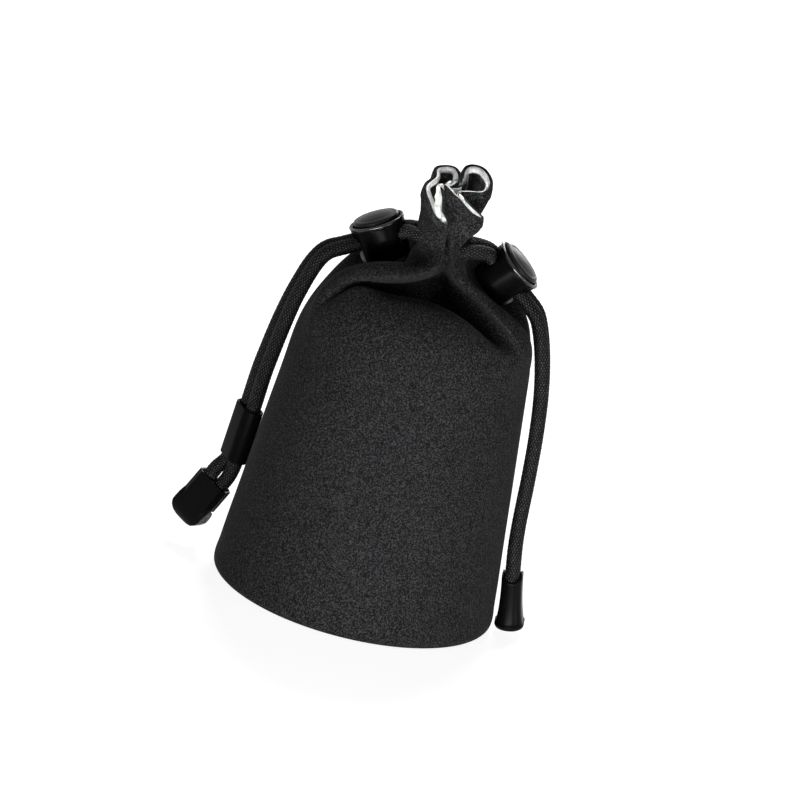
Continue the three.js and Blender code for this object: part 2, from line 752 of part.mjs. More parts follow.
const bellRadius = cordRadius + cordGap + bellWall;
const bellFootRadius = bellRadius + bellFlare;
const bellFoot = [0, 45, 90].map((turn) => {
  const inward = bellFootRounding * (1 - Math.sin(radians(turn)));
  return bellRing(bellLength - bellFootRounding * (1 - Math.cos(radians(turn))), bellFootRadius - inward);
});
const bellSide = [0.75, 0.5, 0.25, 0].map((share) => {
  return bellRing(bellLength * share, bellRadius + bellFlare * share ** 3);
});
const bellRings = [
  ...bellFoot,
  ...bellSide,
  bellRing(0, cordRadius + cordGap),
  bellRing(bellPocket, cordRadius + cordGap),
];
const bell = placed(bellMouth, bellAxis, new THREE.Vector3(0, 1, 0));
add('bell_end', skin(bellRings, false), glossLook, bell);

export default pouch;
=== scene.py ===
"""A soft drawstring pouch for a camera lens, gathered shut, with its cord, locks and cord ends."""
import math

import bmesh
import bpy
import numpy as np
from mathutils import Matrix, Vector
from mathutils.bvhtree import BVHTree


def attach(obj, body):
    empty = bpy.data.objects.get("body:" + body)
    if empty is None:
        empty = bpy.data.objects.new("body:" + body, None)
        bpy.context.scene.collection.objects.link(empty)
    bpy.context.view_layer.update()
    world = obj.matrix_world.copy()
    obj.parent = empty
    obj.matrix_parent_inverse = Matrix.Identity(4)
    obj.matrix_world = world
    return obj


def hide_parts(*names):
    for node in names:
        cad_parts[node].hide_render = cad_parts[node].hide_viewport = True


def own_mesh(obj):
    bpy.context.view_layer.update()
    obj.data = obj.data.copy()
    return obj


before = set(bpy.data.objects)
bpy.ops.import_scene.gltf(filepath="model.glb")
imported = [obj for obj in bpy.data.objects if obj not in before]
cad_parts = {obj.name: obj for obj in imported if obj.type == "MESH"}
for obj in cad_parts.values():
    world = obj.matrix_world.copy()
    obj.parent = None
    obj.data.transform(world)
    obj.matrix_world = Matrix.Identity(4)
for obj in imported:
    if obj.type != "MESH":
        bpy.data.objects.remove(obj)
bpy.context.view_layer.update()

scene = bpy.context.scene
scene.view_settings.view_transform = "Standard"


# Camera
# A long lens looks down at the pouch's front from 18 degrees above. The pouch leans to the right in
# the picture, so the camera is rolled to the left about its line of sight. Places are in metres.
camera_height = math.radians(18)
camera_roll = math.radians(14.2)
camera_lens = 350
sensor_width = 36
picture_width = 0.2536
aim = Vector((-0.0001, 0, 0.0669))

sight = Vector((0, math.cos(camera_height), -math.sin(camera_height)))
sideways = Vector((1, 0, 0))
upright = sideways.cross(sight)
picture_right = sideways * math.cos(camera_roll) + upright * math.sin(camera_roll)
picture_up = upright * math.cos(camera_roll) - sideways * math.sin(camera_roll)
camera = bpy.data.objects.new("camera", bpy.data.cameras.new("camera"))
camera.data.lens = camera_lens
camera.data.sensor_width = sensor_width
camera_place = aim - sight * (picture_width * camera_lens / sensor_width)
camera_turn = Matrix((picture_right, picture_up, -sight)).transposed().to_4x4()
camera.matrix_world = Matrix.Translation(camera_place) @ camera_turn
scene.collection.objects.link(camera)
scene.camera = camera


# Floor and light
# A wide sheet of white paper lies under the pouch. Most light comes from a bright card low in
# front, so the hollows behind the body's upper edge stay black. Weaker lamps fill in, and one
# points at the mouth.
MM = 0.001


def linear(hex_colour):
    """An sRGB hex colour as linear red, green, blue and alpha."""
    parts = [int(hex_colour[i:i + 2], 16) / 255 for i in (1, 3, 5)]
    return [p / 12.92 if p <= 0.04045 else ((p + 0.055) / 1.055) ** 2.4 for p in parts] + [1]


def add_node(tree, kind, inputs=None, **settings):
    """Adds a node with its settings. Inputs are values, or sockets to link from."""
    node = tree.nodes.new(kind)
    for name, value in settings.items():
        setattr(node, name, value)
    for name, value in (inputs or {}).items():
        if isinstance(value, bpy.types.NodeSocket):
            tree.links.new(value, node.inputs[name])
        else:
            node.inputs[name].default_value = value
    return node


def start_material(name):
    """A new material and its node tree, emptied."""
    material = bpy.data.materials.new(name)
    material.use_nodes = True
    material.node_tree.nodes.clear()
    return material, material.node_tree


def looked_at(tree):
    """A socket: 1 where a thing is looked at, also in a mirror, and 0 where it lights others."""
    ray = add_node(tree, "ShaderNodeLightPath")
    seen = add_node(tree, "ShaderNodeMath", {
        0: ray.outputs["Is Camera Ray"], 1: ray.outputs["Is Glossy Ray"],
    })
    seen = add_node(tree, "ShaderNodeMath", {
        0: seen.outputs[0], 1: ray.outputs["Is Transmission Ray"],
    }, use_clamp=True)
    return seen.outputs[0]


# Paper, rolled smooth: matt and white, with a faint cloud of fibres. It glows only where it is
# looked at, so it is as white as a lit backdrop and throws no more light on the pouch.
fibre_cloud = 4 * MM
paper_glow = 0.88
paper, tree = start_material("white_paper")
fibre = add_node(tree, "ShaderNodeTexNoise", {"Scale": 1 / fibre_cloud, "Detail": 3})
paper_bump = add_node(tree, "ShaderNodeBump", {
    "Strength": 0.1, "Distance": 0.1 * MM, "Height": fibre.outputs["Fac"],
})
paper_lit = add_node(tree, "ShaderNodeBsdfDiffuse", {
    "Color": linear("#e0e0e0"), "Normal": paper_bump.outputs[0],
})
glow_level = add_node(tree, "ShaderNodeMath", {
    0: looked_at(tree), 1: paper_glow,
}, operation="MULTIPLY")
glow = add_node(tree, "ShaderNodeEmission", {
    "Color": linear("#ffffff"), "Strength": glow_level.outputs[0],
})
paper_seen = add_node(tree, "ShaderNodeAddShader", {0: paper_lit.outputs[0], 1: glow.outputs[0]})
add_node(tree, "ShaderNodeOutputMaterial", {"Surface": paper_seen.outputs[0]})

floor_half = 12
floor_level = -0.1 * MM
floor_mesh = bpy.data.meshes.new("floor")
corners = [
    (x * floor_half, y * floor_half, floor_level)
    for x, y in ((-1, -1), (1, -1), (1, 1), (-1, 1))
]
floor_mesh.from_pydata(corners, [], [(0, 1, 2, 3)])
floor_mesh.materials.append(paper)
floor = bpy.data.objects.new("floor", floor_mesh)
scene.collection.objects.link(floor)

# The studio's walls are white to look at and give hardly any light
wall_light, wall_white = 0.02, 0.9
world = bpy.data.worlds.new("studio")
world.use_nodes = True
tree = world.node_tree
wall_level = add_node(tree, "ShaderNodeMapRange", {
    "Value": looked_at(tree), "To Min": wall_light, "To Max": wall_white,
})
studio_walls = tree.nodes["Background"]
studio_walls.inputs["Color"].default_value = linear("#ffffff")
tree.links.new(wall_level.outputs[0], studio_walls.inputs["Strength"])
scene.world = world

# Each lamp's place in degrees round from the front and up from level, then metres and watts
lamps = {
    "card": {"azimuth": 5, "height": -9.3, "distance": 0.34, "size": (0.34, 0.02), "watts": 1.45},
    "front": {"azimuth": 5, "height": 4, "distance": 1.1, "size": (0.4, 0.16), "watts": 0.7},
    "right": {"azimuth": 62, "height": -4, "distance": 0.6, "size": (0.2, 0.03), "watts": 0.5},
    "back": {"azimuth": 170, "height": 15, "distance": 1.1, "size": (0.5, 0.3), "watts": 2.5},
    "overhead": {"azimuth": 178, "height": 54, "distance": 1.0, "size": (0.3, 0.18), "watts": 3.4},
    "mouth": {
        "azimuth": 0, "height": 60, "distance": 0.25, "size": (0.024, 0.022), "watts": 0.0019,
        "spread": 3, "aim": Vector((0.002, -0.004, 0.135)),
    },
}
for name, lamp in lamps.items():
    light = bpy.data.lights.new(name, "AREA")
    light.shape = "RECTANGLE"
    light.size, light.size_y = lamp["size"]
    light.energy = lamp["watts"]
    light.spread = math.radians(lamp.get("spread", 180))
    turn, height = math.radians(lamp["azimuth"]), math.radians(lamp["height"])
    level = Vector((math.sin(turn), -math.cos(turn), 0))
    towards = level * math.cos(height) + Vector((0, 0, math.sin(height)))
    lamp_object = bpy.data.objects.new(name, light)
    lamp_object.matrix_world = (
        Matrix.Translation(lamp.get("aim", aim) + towards * lamp["distance"])
        @ towards.to_track_quat("Z", "Y").to_matrix().to_4x4()
    )
    scene.collection.objects.link(lamp_object)


# Outer wall
# One panel of charcoal softshell cloth, sewn into a tapered tube and drawn shut by the cord in its
# channel. Its fullness stands out in four ridges over the shoulder and four lobes round the mouth.
base_radius = 46.0
shoulder_radius = 38.0
shoulder_height = 83.0
cloth_thickness = 1.0

# Lines that run up the wall, all in millimetres: the angle on the body, then points low and high on
# the shoulder, half way in, at the neck's root and at the neck. They go from the left round by the
# front. Close lines make the sharp lips of the two front ridges, and the low points between them
# the hollow there.
wall_lines = [
    (180, (-33.6, 0.5, 93.6), (-21.5, 0.5, 102.5), (-15, 0.5, 106.6),
     (-9.4, 0.5, 112.3), (-8.3, -0.5, 122.5)),
    (194, (-33.8, -8.5, 95), (-24, -10.5, 105), (-16.5, -10, 109),
     (-9.5, -9.8, 113.5), (-6.6, -6, 121.6)),
    (200, (-34, -12, 97.2), (-25.5, -13.4, 109.5), (-16, -13, 113.5),
     (-7.5, -13.6, 116.4), (-4, -9.8, 120.9)),
    (205, (-33.7, -15, 98), (-24.5, -17.2, 111.3), (-14.5, -17.2, 115.4),
     (-5.6, -16, 117), (-1.2, -12.2, 120.7)),
    (207.5, (-33.2, -16.8, 98.3), (-22.6, -20.4, 111.2), (-12.4, -20.8, 114.4),
     (-3.2, -17.8, 116.4), (0.9, -13.5, 120.6)),
    (209, (-32.6, -18, 98), (-20.8, -21.6, 109.9), (-11.2, -22, 112.7),
     (-2, -18.3, 115.2), (2, -13.6, 120.2)),
    (210.5, (-31.8, -18.7, 97.6), (-20.3, -19.5, 108.2), (-10.9, -18.6, 110.4),
     (-1.8, -14.6, 113), (1.9, -12.2, 119.2)),
    (213.5, (-30.8, -20, 96.8), (-19.5, -16.6, 104.2), (-9.5, -13.4, 103.6),
     (-1.4, -8.6, 108.4), (1.8, -9.8, 118.4)),
    (222, (-27.2, -24.2, 97.4), (-20.2, -21, 106.8), (-9.6, -17.8, 102.4),
     (-0.6, -7.4, 105.6), (2, -8.4, 118)),
    (238, (-19.6, -30, 98.6), (-12, -21.2, 106.8), (-4.5, -15.6, 100.6),
     (0.6, -6.2, 104.8), (2.3, -7.2, 118)),
    (268, (0, -34.3, 99), (2, -21, 107.2), (2.6, -14.6, 99.6),
     (3, -5.6, 104.8), (2.7, -5.4, 118.5)),
    (298, (18, -30, 97.8), (15, -21.6, 103.5), (8.8, -15, 99.4),
     (5.6, -6.2, 105), (3.1, -6.6, 119)),
    (318, (30, -22.8, 93.6), (24.8, -20.2, 99.1), (15.5, -14.8, 100.2),
     (8, -8, 106.6), (3.6, -8.6, 119)),
    (326, (33, -18.9, 94.6), (26.2, -16.2, 102.4), (17, -12.2, 106.4),
     (9, -10.4, 111), (3.8, -10.4, 119.4)),
    (329, (33.8, -17.6, 96), (24.6, -17.2, 106), (15.4, -15, 111),
     (8.9, -14.3, 114.4), (4.3, -12, 119.8)),
    (332.5, (34.6, -15.8, 97.2), (25.9, -15.3, 107), (16.8, -13.8, 111.9),
     (10.4, -13.5, 115), (5.2, -12, 120)),
    (338, (35.9, -12.5, 97.5), (27.4, -13.2, 107), (19, -12.4, 111),
     (13, -12.2, 114), (6.2, -11.4, 120.2)),
    (346, (36.8, -7.5, 94), (29, -9, 103), (22, -9.3, 107),
     (15.8, -9.8, 110.6), (7, -9.2, 120.2)),
    (353, (36.2, -3.5, 92), (27.5, -4, 100), (21, -4.5, 103.9),
     (15, -5, 108.3), (7.4, -5.8, 120)),
    (360, (35.6, 0, 91.5), (26.5, 0, 99), (20.3, 0, 102.8),
     (14.5, -0.5, 107.8), (7.8, -2.5, 120)),
    (370, (35.6, 5, 92), (27.5, 5.5, 99.8), (21, 5, 103.9),
     (15, 4.5, 108.5), (8.8, 0.8, 120.4)),
    (380, (35.2, 11, 94), (29.5, 11, 103), (23, 10.8, 108),
     (16.5, 10.3, 113), (9.6, 4.2, 121.4)),
    (393, (31.6, 19, 95.5), (25.5, 17, 106), (20, 15, 112),
     (13.5, 12.6, 117.5), (8.6, 7.8, 122.4)),
    (415, (20.8, 29, 95), (15, 24, 105), (11.5, 19.8, 110.3),
     (7.8, 14.5, 115), (5.2, 10.2, 122)),
    (436, (8.9, 34.2, 94.5), (6.6, 28.2, 104.8), (5.4, 21.8, 110.6),
     (4.4, 14.2, 115.2), (3, 8.8, 121.5)),
    (452, (-1, 35.4, 94), (0.5, 26.4, 102.4), (1.2, 17.2, 106),
     (1.8, 9.4, 111), (1.6, 5.5, 121.3)),
    (468, (-11.1, 33.4, 94.5), (-6, 28, 104.8), (-3.4, 21.6, 110.8),
     (-0.6, 14.4, 115.6), (0.6, 8.9, 121.6)),
    (488, (-22, 28.1, 95), (-15.5, 24, 105.5), (-11, 19.8, 111.5),
     (-5.6, 15, 117), (-2.2, 10, 122.6)),
    (508, (-30.6, 19, 96), (-25.5, 16.5, 106.5), (-18.5, 14.6, 113.5),
     (-10.8, 12.4, 119.2), (-6.4, 7.4, 124)),
    (525, (-33.8, 9, 94.5), (-24, 9.6, 103.5), (-17.5, 9.6, 108.4),
     (-11.2, 9, 114), (-8, 3, 123)),
]
# The mouth's rim, with the wall line that each point stands over: four lobes and three tucks
rim_points = [
    (0, (-8.6, -0.6, 137.9)), (0.6, (-8.1, -2.6, 136.7)), (1.3, (-6.8, -4.6, 135.3)),
    (2.2, (-5, -7, 133.4)), (3.2, (-3.5, -8.6, 131.8)), (4.4, (-1.4, -9.9, 130.7)),
    (5, (0.8, -10.7, 130.2)), (5.6, (0.5, -9, 131.2)), (6.6, (-1.6, -6.4, 132.9)),
    (7.8, (-2.6, -4, 136.2)), (9, (-3.7, -2, 138.3)), (9.6, (-4, -0.4, 139.3)),
    (10, (-3.2, 0.3, 139.4)), (10.6, (-1.4, -0.8, 138.9)), (11.6, (0.5, -3, 138.3)),
    (13.6, (3, -4.3, 137.2)), (16, (5.7, -5.5, 135.6)), (16.7, (8.2, -6.5, 134.5)),
    (17, (10.8, -7, 134)), (17.3, (8.8, -5.4, 134.9)), (18, (5.9, -3.5, 136.2)),
    (18.7, (2.6, -2.1, 137.7)), (19, (0.9, -1.3, 138.4)), (19.3, (2.6, -0.2, 138.7)),
    (20, (5.7, 1.2, 139)), (20.7, (9.2, 2, 139.7)), (21.2, (10.8, 4.2, 141.8)),
    (22, (9, 7.3, 144.4)), (22.7, (5.8, 9, 145.2)), (23.3, (3.6, 8.4, 144.8)),
    (23.8, (3, 6, 142.6)), (24.3, (2.9, 3.8, 139.9)), (24.7, (0.4, 2.6, 138.2)),
    (25, (-2.4, 2.2, 138.6)), (25.5, (-0.9, 4, 139.6)), (26, (-0.3, 6.1, 141.8)),
    (26.6, (-1.6, 8, 143.2)), (27.2, (-4.5, 8.1, 143)), (28, (-6.7, 6.1, 142.2)),
    (28.7, (-6.3, 3.5, 140.9)), (29.3, (-7.9, 1.4, 139)),
]
# The body below the shoulder as height and how far its edge is drawn in
body_rows = [
    (shoulder_height, 0), (74, 0), (60, 0), (42, 0), (24, 0), (11, 0), (6, 0), (3, 0),
    (1.3, 0.6), (0.45, 1.8), (0.3, 3.4),
]
# Where the neck, the straight body and its foot start, counted in rows down from the rim
neck_row, body_row, foot_row = 2, 7, 13


def spline_weights(knots, places, closed=False):
    """Rows of weights which turn values at the knots into a smooth cubic line's values at other
    places. A closed line has one knot more than values, where it comes back to its start."""
    gaps = np.diff(knots)
    count = len(gaps) if closed else len(knots)
    bend, pull = np.zeros((count, count)), np.zeros((count, count))
    for i in range(count):
        if not closed and i in (0, count - 1):
            bend[i, i] = 1
            continue
        before, after = gaps[i - 1], gaps[i]
        left, right = (i - 1) % count, (i + 1) % count
        bend[i, left] += before / 6
        bend[i, i] += (before + after) / 3
        bend[i, right] += after / 6
        pull[i, left] += 1 / before
        pull[i, i] -= 1 / before + 1 / after
        pull[i, right] += 1 / after
    curving = np.linalg.solve(bend, pull)
    values = np.eye(count)
    weights = []
    for place in places:
        i = min(max(np.searchsorted(knots, place, side="right") - 1, 0), len(gaps) - 1)
        j = (i + 1) % count
        a = (knots[i + 1] - place) / gaps[i]
        b = 1 - a
        bent = ((a ** 3 - a) * curving[i] + (b ** 3 - b) * curving[j]) * gaps[i] ** 2 / 6
        weights.append(a * values[i] + b * values[j] + bent)
    return np.array(weights)


def body_ring_radius(height):
    """The radius of the straight, tapered body at a height."""
    return base_radius + (shoulder_radius - base_radius) * height / shoulder_height


# Every ring is a smooth closed line through its points. The body's rings are true circles, so the
# shoulder and neck are kept as what they depart from a plain tapered tube. The rim has more points
# than the rest.
wall_columns = 400
angles = np.array([line[0] for line in wall_lines], float)
upper = np.array([[line[i] for line in wall_lines] for i in (5, 4, 3, 2, 1)], float)
line_gaps = np.linalg.norm(np.roll(upper, -1, 1) - upper, axis=2).mean(0)
line_knots = np.concatenate([[0], np.cumsum(line_gaps)])
column_places = np.linspace(0, line_knots[-1], wall_columns, endpoint=False)
across = spline_weights(line_knots, column_places, closed=True)
column_shares = column_places / line_knots[-1]
turned_on = angles - angles[0] - 360 * line_knots[:-1] / line_knots[-1]
column_angles = np.radians(angles[0] + 360 * column_shares + across @ turned_on)

rim = np.array([point for _, point in rim_points], float)
rim_gaps = np.linalg.norm(np.roll(rim, -1, 0) - rim, axis=1)
rim_knots = np.concatenate([[0], np.cumsum(rim_gaps)])
rim_over = np.interp([over for over, _ in rim_points], np.arange(len(line_knots)), line_knots)
rim_over = np.concatenate([rim_over, [line_knots[-1]]])
rim_places = np.interp(column_places, rim_over, rim_knots)
rim_smoothing = 12
for _ in range(rim_smoothing):
    ahead = np.concatenate([rim_places[1:], [rim_places[0] + rim_knots[-1]]])
    behind = np.concatenate([[rim_places[-1] - rim_knots[-1]], rim_places[:-1]])
    rim_places = (behind + 2 * rim_places + ahead) / 4
rim_places %= rim_knots[-1]
rim_ring = spline_weights(rim_knots, rim_places, closed=True) @ rim

# The plain tube's rows as radius and height, from the rim down
tube_rows = [
    (9.0, 139.0), (8.8, 133.9), (8.0, 120.0), (13.0, 111.5), (20.5, 107.5), (29.0, 103.5),
    (35.8, 94.5),
]
tube_rows += [(body_ring_radius(height) - inward, height) for height, inward in body_rows]
tube = np.array(tube_rows)
column_ring = np.stack([np.cos(column_angles), np.sin(column_angles)], 1)
knot_ring = np.stack([np.cos(np.radians(angles)), np.sin(np.radians(angles))], 1)


def tube_ring(row, directions):
    """A row of the plain tube as points in the given directions."""
    radius, height = tube[row]
    return np.column_stack([radius * directions, np.full(len(directions), height)])


# The hem's foot lies below the rim, this far on the way to the neck in X, Y and Z
hem_share = [0.06, 0.06, 0.27]
neck_ring = across @ upper[0]
hem_ring = rim_ring + (neck_ring - rim_ring) * hem_share
departs = np.zeros((len(tube), wall_columns, 3))
departs[0] = rim_ring - tube_ring(0, column_ring)
departs[1] = hem_ring - tube_ring(1, column_ring)
for row, points in enumerate(upper, neck_row):
    departs[row] = across @ (points - tube_ring(row, knot_ring))
row_gaps = [np.linalg.norm(rim_ring - hem_ring, axis=1).mean()]
row_gaps += [np.linalg.norm(hem_ring - neck_ring, axis=1).mean()]
row_gaps += np.linalg.norm(np.diff(upper, axis=0), axis=2).mean(1).tolist()
row_gaps += np.linalg.norm(np.diff(tube[body_row - 1:], axis=0), axis=1).tolist()
row_knots = np.concatenate([[0], np.cumsum(row_gaps)])
hem_depth = 6
body_top, foot_top = row_knots[body_row], row_knots[foot_row]
row_places = np.concatenate([
    np.linspace(0, hem_depth, 24, endpoint=False),
    np.linspace(hem_depth, body_top, 120, endpoint=False),
    np.linspace(body_top, foot_top, 40, endpoint=False),
    np.linspace(foot_top, row_knots[-1], 16),
])
down = spline_weights(row_knots, row_places)
row_radius, row_height = (down @ tube).T
wall = np.einsum("ri,ick->rck", down, departs)
wall[:, :, :2] += row_radius[:, None, None] * column_ring
wall[:, :, 2] += row_height[:, None]


def outward_of(rings):
    """Unit vectors that point out of a surface of rings, which run from the top down."""
    round_it = np.roll(rings, -1, 1) - np.roll(rings, 1, 1)
    down_it = np.gradient(rings, axis=0)
    normal = np.cross(down_it, round_it)
    return normal / np.linalg.norm(normal, axis=2, keepdims=True)


def free_run(rings, directions, rows, most=12.0, start=0.15, reach=11.8):
    """How far the points in the first rows can move before they meet the surface again, or the most
    that they may. The shortest run near each point is taken and smoothed."""
    count = rings.shape[1]
    corners = np.arange(rings.shape[0] * count).reshape(-1, count)
    on = np.roll(corners, -1, 1)
    faces = np.stack([corners[:-1], corners[1:], on[1:], on[:-1]], 2).reshape(-1, 4)
    surface = BVHTree.FromPolygons(rings.reshape(-1, 3).tolist(), faces.tolist())
    run = np.full(rings.shape[:2], most)
    for row in range(rows):
        for column in range(count):
            way = Vector(directions[row, column])
            distance = surface.ray_cast(Vector(rings[row, column]) + way * start, way, reach)[3]
            if distance is not None:
                run[row, column] = distance + start
    for _ in range(2):
        run = np.minimum.reduce([run, np.roll(run, 1, 1), np.roll(run, -1, 1)])
    for _ in range(4):
        run = (np.roll(run, 1, 1) + 2 * run + np.roll(run, -1, 1)) / 4
        run[1:-1] = (run[:-2] + 2 * run[1:-1] + run[2:]) / 4
    return run


def skin(name, rings, material, joined=False, smooth=True):
    """A mesh over rings of equally many points, in metres. A joined one goes on from the last ring
    to the first, and any other is closed by a face at either end."""
    rings = np.asarray(rings, float)
    rows, count = rings.shape[:2]
    faces = []
    for row in range(rows if joined else rows - 1):
        here, there = row * count, (row + 1) % rows * count
        for side in range(count):
            on = (side + 1) % count
            faces.append((here + side, there + side, there + on, here + on))
    if not joined:
        faces.append(tuple(range(count)))
        faces.append(tuple(range(rows * count - 1, (rows - 1) * count - 1, -1)))
    mesh = bpy.data.meshes.new(name)
    mesh.from_pydata(rings.reshape(-1, 3).tolist(), [], faces)
    mesh.polygons.foreach_set("use_smooth", [smooth] * len(faces))
    mesh.materials.append(material)
    shaped = bmesh.new()
    shaped.from_mesh(mesh)
    bmesh.ops.recalc_face_normals(shaped, faces=shaped.faces)
    shaped.to_mesh(mesh)
    shaped.free()
    piece = bpy.data.objects.new(name, mesh)
    scene.collection.objects.link(piece)
    return piece


# A cloth's top edge has three rings between its two faces, and is fuller than half a circle
edge_shares = (0.85, 0.5, 0.15)
edge_fullness = 0.6


def shell_rings(outer, inner, lip):
    """Rings round a cloth of two faces, with its top edge rounded up by the lip."""
    shares = np.array(edge_shares)[:, None, None]
    edge = (1 - shares) * outer[0] + shares * inner[0]
    edge = edge + np.sin(math.pi * shares) ** edge_fullness * np.array([0, 0, lip])
    return np.concatenate([edge, outer, inner[::-1]])


# Softshell cloth: a brushed knit face bonded to a film. It looks matt and charcoal, with a fine
# pale speckle where the tips of the fibres catch the light. The speckle is drawn at 0.5 mm, about
# twice its real size, so that it shows.
speckle_width, mottle_width = 0.5 * MM, 4 * MM
softshell, tree = start_material("brushed_softshell_cloth")
where = add_node(tree, "ShaderNodeTexCoord")
speckle = add_node(tree, "ShaderNodeTexNoise", {
    "Vector": where.outputs["Object"], "Scale": 1 / speckle_width, "Detail": 3, "Roughness": 0.65,
})
mottle = add_node(tree, "ShaderNodeTexNoise", {
    "Vector": where.outputs["Object"], "Scale": 1 / mottle_width, "Detail": 2,
})
tips = add_node(tree, "ShaderNodeMapRange", {
    "Value": speckle.outputs["Fac"], "From Min": 0.45, "From Max": 0.72,
})
patches = add_node(tree, "ShaderNodeMapRange", {
    "Value": mottle.outputs["Fac"], "From Min": 0.35, "From Max": 0.65,
})
ground = add_node(tree, "ShaderNodeMix", {
    0: patches.outputs[0], 6: linear("#0d0d0e"), 7: linear("#121213"),
}, data_type="RGBA")
cloth_colour = add_node(tree, "ShaderNodeMix", {
    0: tips.outputs[0], 6: ground.outputs[2], 7: linear("#444445"),
}, data_type="RGBA")
cloth_bump = add_node(tree, "ShaderNodeBump", {
    "Strength": 0.5, "Distance": 0.12 * MM, "Height": speckle.outputs["Fac"],
})
cloth_surface = add_node(tree, "ShaderNodeBsdfPrincipled", {
    "Base Color": cloth_colour.outputs[2], "Roughness": 0.85, "Specular IOR Level": 0.05,
    "Sheen Weight": 0.02, "Sheen Roughness": 0.45, "Normal": cloth_bump.outputs[0],
})
add_node(tree, "ShaderNodeOutputMaterial", {"Surface": cloth_surface.outputs[0]})

# The hem at the rim is folded double, so it rolls out a little below its edge and ends in a shallow
# step. It stands out twice as far over the back's middle, between wall lines 22 and 27.
hem_stops = [0, 1.5, 3.4, 3.9, 10]
hem_rises = [0.85, 1.15, 1.25, 0.9, 0]
wall_out = outward_of(wall)
hem_back = np.interp(column_places, line_knots[[22, 23, 26, 27]], [0, 1, 1, 0])
hem_rise = np.interp(row_places, hem_stops, hem_rises)[:, None] * (1 + hem_back)

# Where folds lie close together, hem and cloth take up only a share of the room between them
hem_rows, hem_room = 60, 0.47
folded_rows, cloth_room = 150, 0.25
hem_free = free_run(wall, wall_out, hem_rows)
wall += np.minimum(hem_rise, hem_room * hem_free)[..., None] * wall_out
wall_out = outward_of(wall)
room = free_run(wall, -wall_out, folded_rows)
cloth_inside = wall - np.minimum(cloth_thickness, cloth_room * room)[..., None] * wall_out
cloth_lip = 0.3
cloth_rings = MM * shell_rings(wall, cloth_inside, cloth_lip)
outer_wall = skin("outer_wall_cloth", cloth_rings, softshell, joined=True)
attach(outer_wall, "pouch")
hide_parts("outer_wall")


# Wall padding
# A band of closed-cell foam, 2.5 mm thick, lies between the cloth and the lining in the straight
# part of the wall. It is cut from sheet and held by the seams above and below it.
def turned_rings(profile, segments=128):
    """Rings about Z in metres, from profile points of radius and height in millimetres."""
    turns = np.arange(segments) * 2 * math.pi / segments
    return np.array([
        np.stack([radius * np.cos(turns), radius * np.sin(turns), np.full(segments, height)], 1)
        for radius, height in profile
    ]) * MM


def rounded(profile, radius, closed=False, steps=4):
    """The profile with every corner rounded off over the radius, or less where sides are short."""
    profile = [np.array(point, float) for point in profile]
    result = []
    for i, corner in enumerate(profile):
        if not closed and i in (0, len(profile) - 1):
            result.append(corner)
            continue
        arms = []
        for other in (profile[i - 1], profile[(i + 1) % len(profile)]):
            arm = other - corner
            arms.append(corner + arm * min(radius / np.linalg.norm(arm), 0.45))
        for share in np.linspace(0, 1, steps + 1):
            result.append(
                (1 - share) ** 2 * arms[0] + 2 * share * (1 - share) * corner + share ** 2 * arms[1]
            )
    return result


# Closed-cell foam, cut from a block: matt dark grey, pitted by cells of about half a millimetre
cell_width = 0.6 * MM
foam, tree = start_material("closed_cell_foam")
where = add_node(tree, "ShaderNodeTexCoord")
cells = add_node(tree, "ShaderNodeTexVoronoi", {
    "Vector": where.outputs["Object"], "Scale": 1 / cell_width,
})
cell_colour = add_node(tree, "ShaderNodeMix", {
    0: cells.outputs["Distance"], 6: linear("#3c3c3e"), 7: linear("#5a5a5c"),
}, data_type="RGBA")
cell_bump = add_node(tree, "ShaderNodeBump", {
    "Strength": 0.4, "Distance": 0.2 * MM, "Height": cells.outputs["Distance"],
})
foam_surface = add_node(tree, "ShaderNodeBsdfPrincipled", {
    "Base Color": cell_colour.outputs[2], "Roughness": 0.95, "Normal": cell_bump.outputs[0],
})
add_node(tree, "ShaderNodeOutputMaterial", {"Surface": foam_surface.outputs[0]})

padding_bottom, padding_outside, padding_inside = 3.0, 1.5, 4.0
padding_rounding = 0.7
padding_profile = [
    (body_ring_radius(height) - inset, height) for height, inset in (
        (padding_bottom, padding_outside), (shoulder_height, padding_outside),
        (shoulder_height, padding_inside), (padding_bottom, padding_inside),
    )
]
padding_rings = turned_rings(rounded(padding_profile, padding_rounding, closed=True))
wall_padding = skin("wall_padding_foam", padding_rings, foam, joined=True)
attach(wall_padding, "pouch")
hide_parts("wall_padding")


# Wall lining
# A tube of light grey plush knit, sewn to the cloth round the mouth's rim and to the base lining
# below. Its pile shows as a pale band inside the gathered mouth.
lining_offset = np.interp(row_places, row_knots[[0, 3, 5, body_row]], [1.0, 1.0, 2.0, 4.3])[:, None]
front_left = np.interp(column_places, line_knots[[0, 1, 8, 9]], [0, 1, 1, 0])
front_right = np.interp(column_places, line_knots[[10, 11, 18, 19]], [0, 1, 1, 0])

# The pile's height, and how much fuller it stands on the left of the mouth and flatter on the right
pile_height, fuller_left, flatter_right = 1.3, 1.4, 0.7
near_rim = np.interp(row_places, [0, 4, 9], [1, 1, 0])[:, None]
pile = pile_height + near_rim * (fuller_left * front_left - flatter_right * front_right)
lining_floor, lining_room, plush_lip = 5.3, 0.48, 0.6
last_row = int(np.argmax(row_height < lining_floor))
lining_out = wall - np.minimum(lining_offset, cloth_room * room)[..., None] * wall_out
lining_in = wall - np.minimum(lining_offset + pile, lining_room * room)[..., None] * wall_out
lining_rings = shell_rings(lining_out[1:last_row], lining_in[1:last_row], plush_lip)

# Near the rim the plush shows its own pale colour. Deeper in the folds it is painted near black as
# painted shade. On the left the pale part reaches further down.
pale_edge, pale_left = 1.1, 4.9
pale_reach = pale_edge + pale_left * front_left
unshaded_pile = np.interp(row_places[1:last_row, None] / pale_reach, [0, 0.9, 1.25], [1, 1, 0])

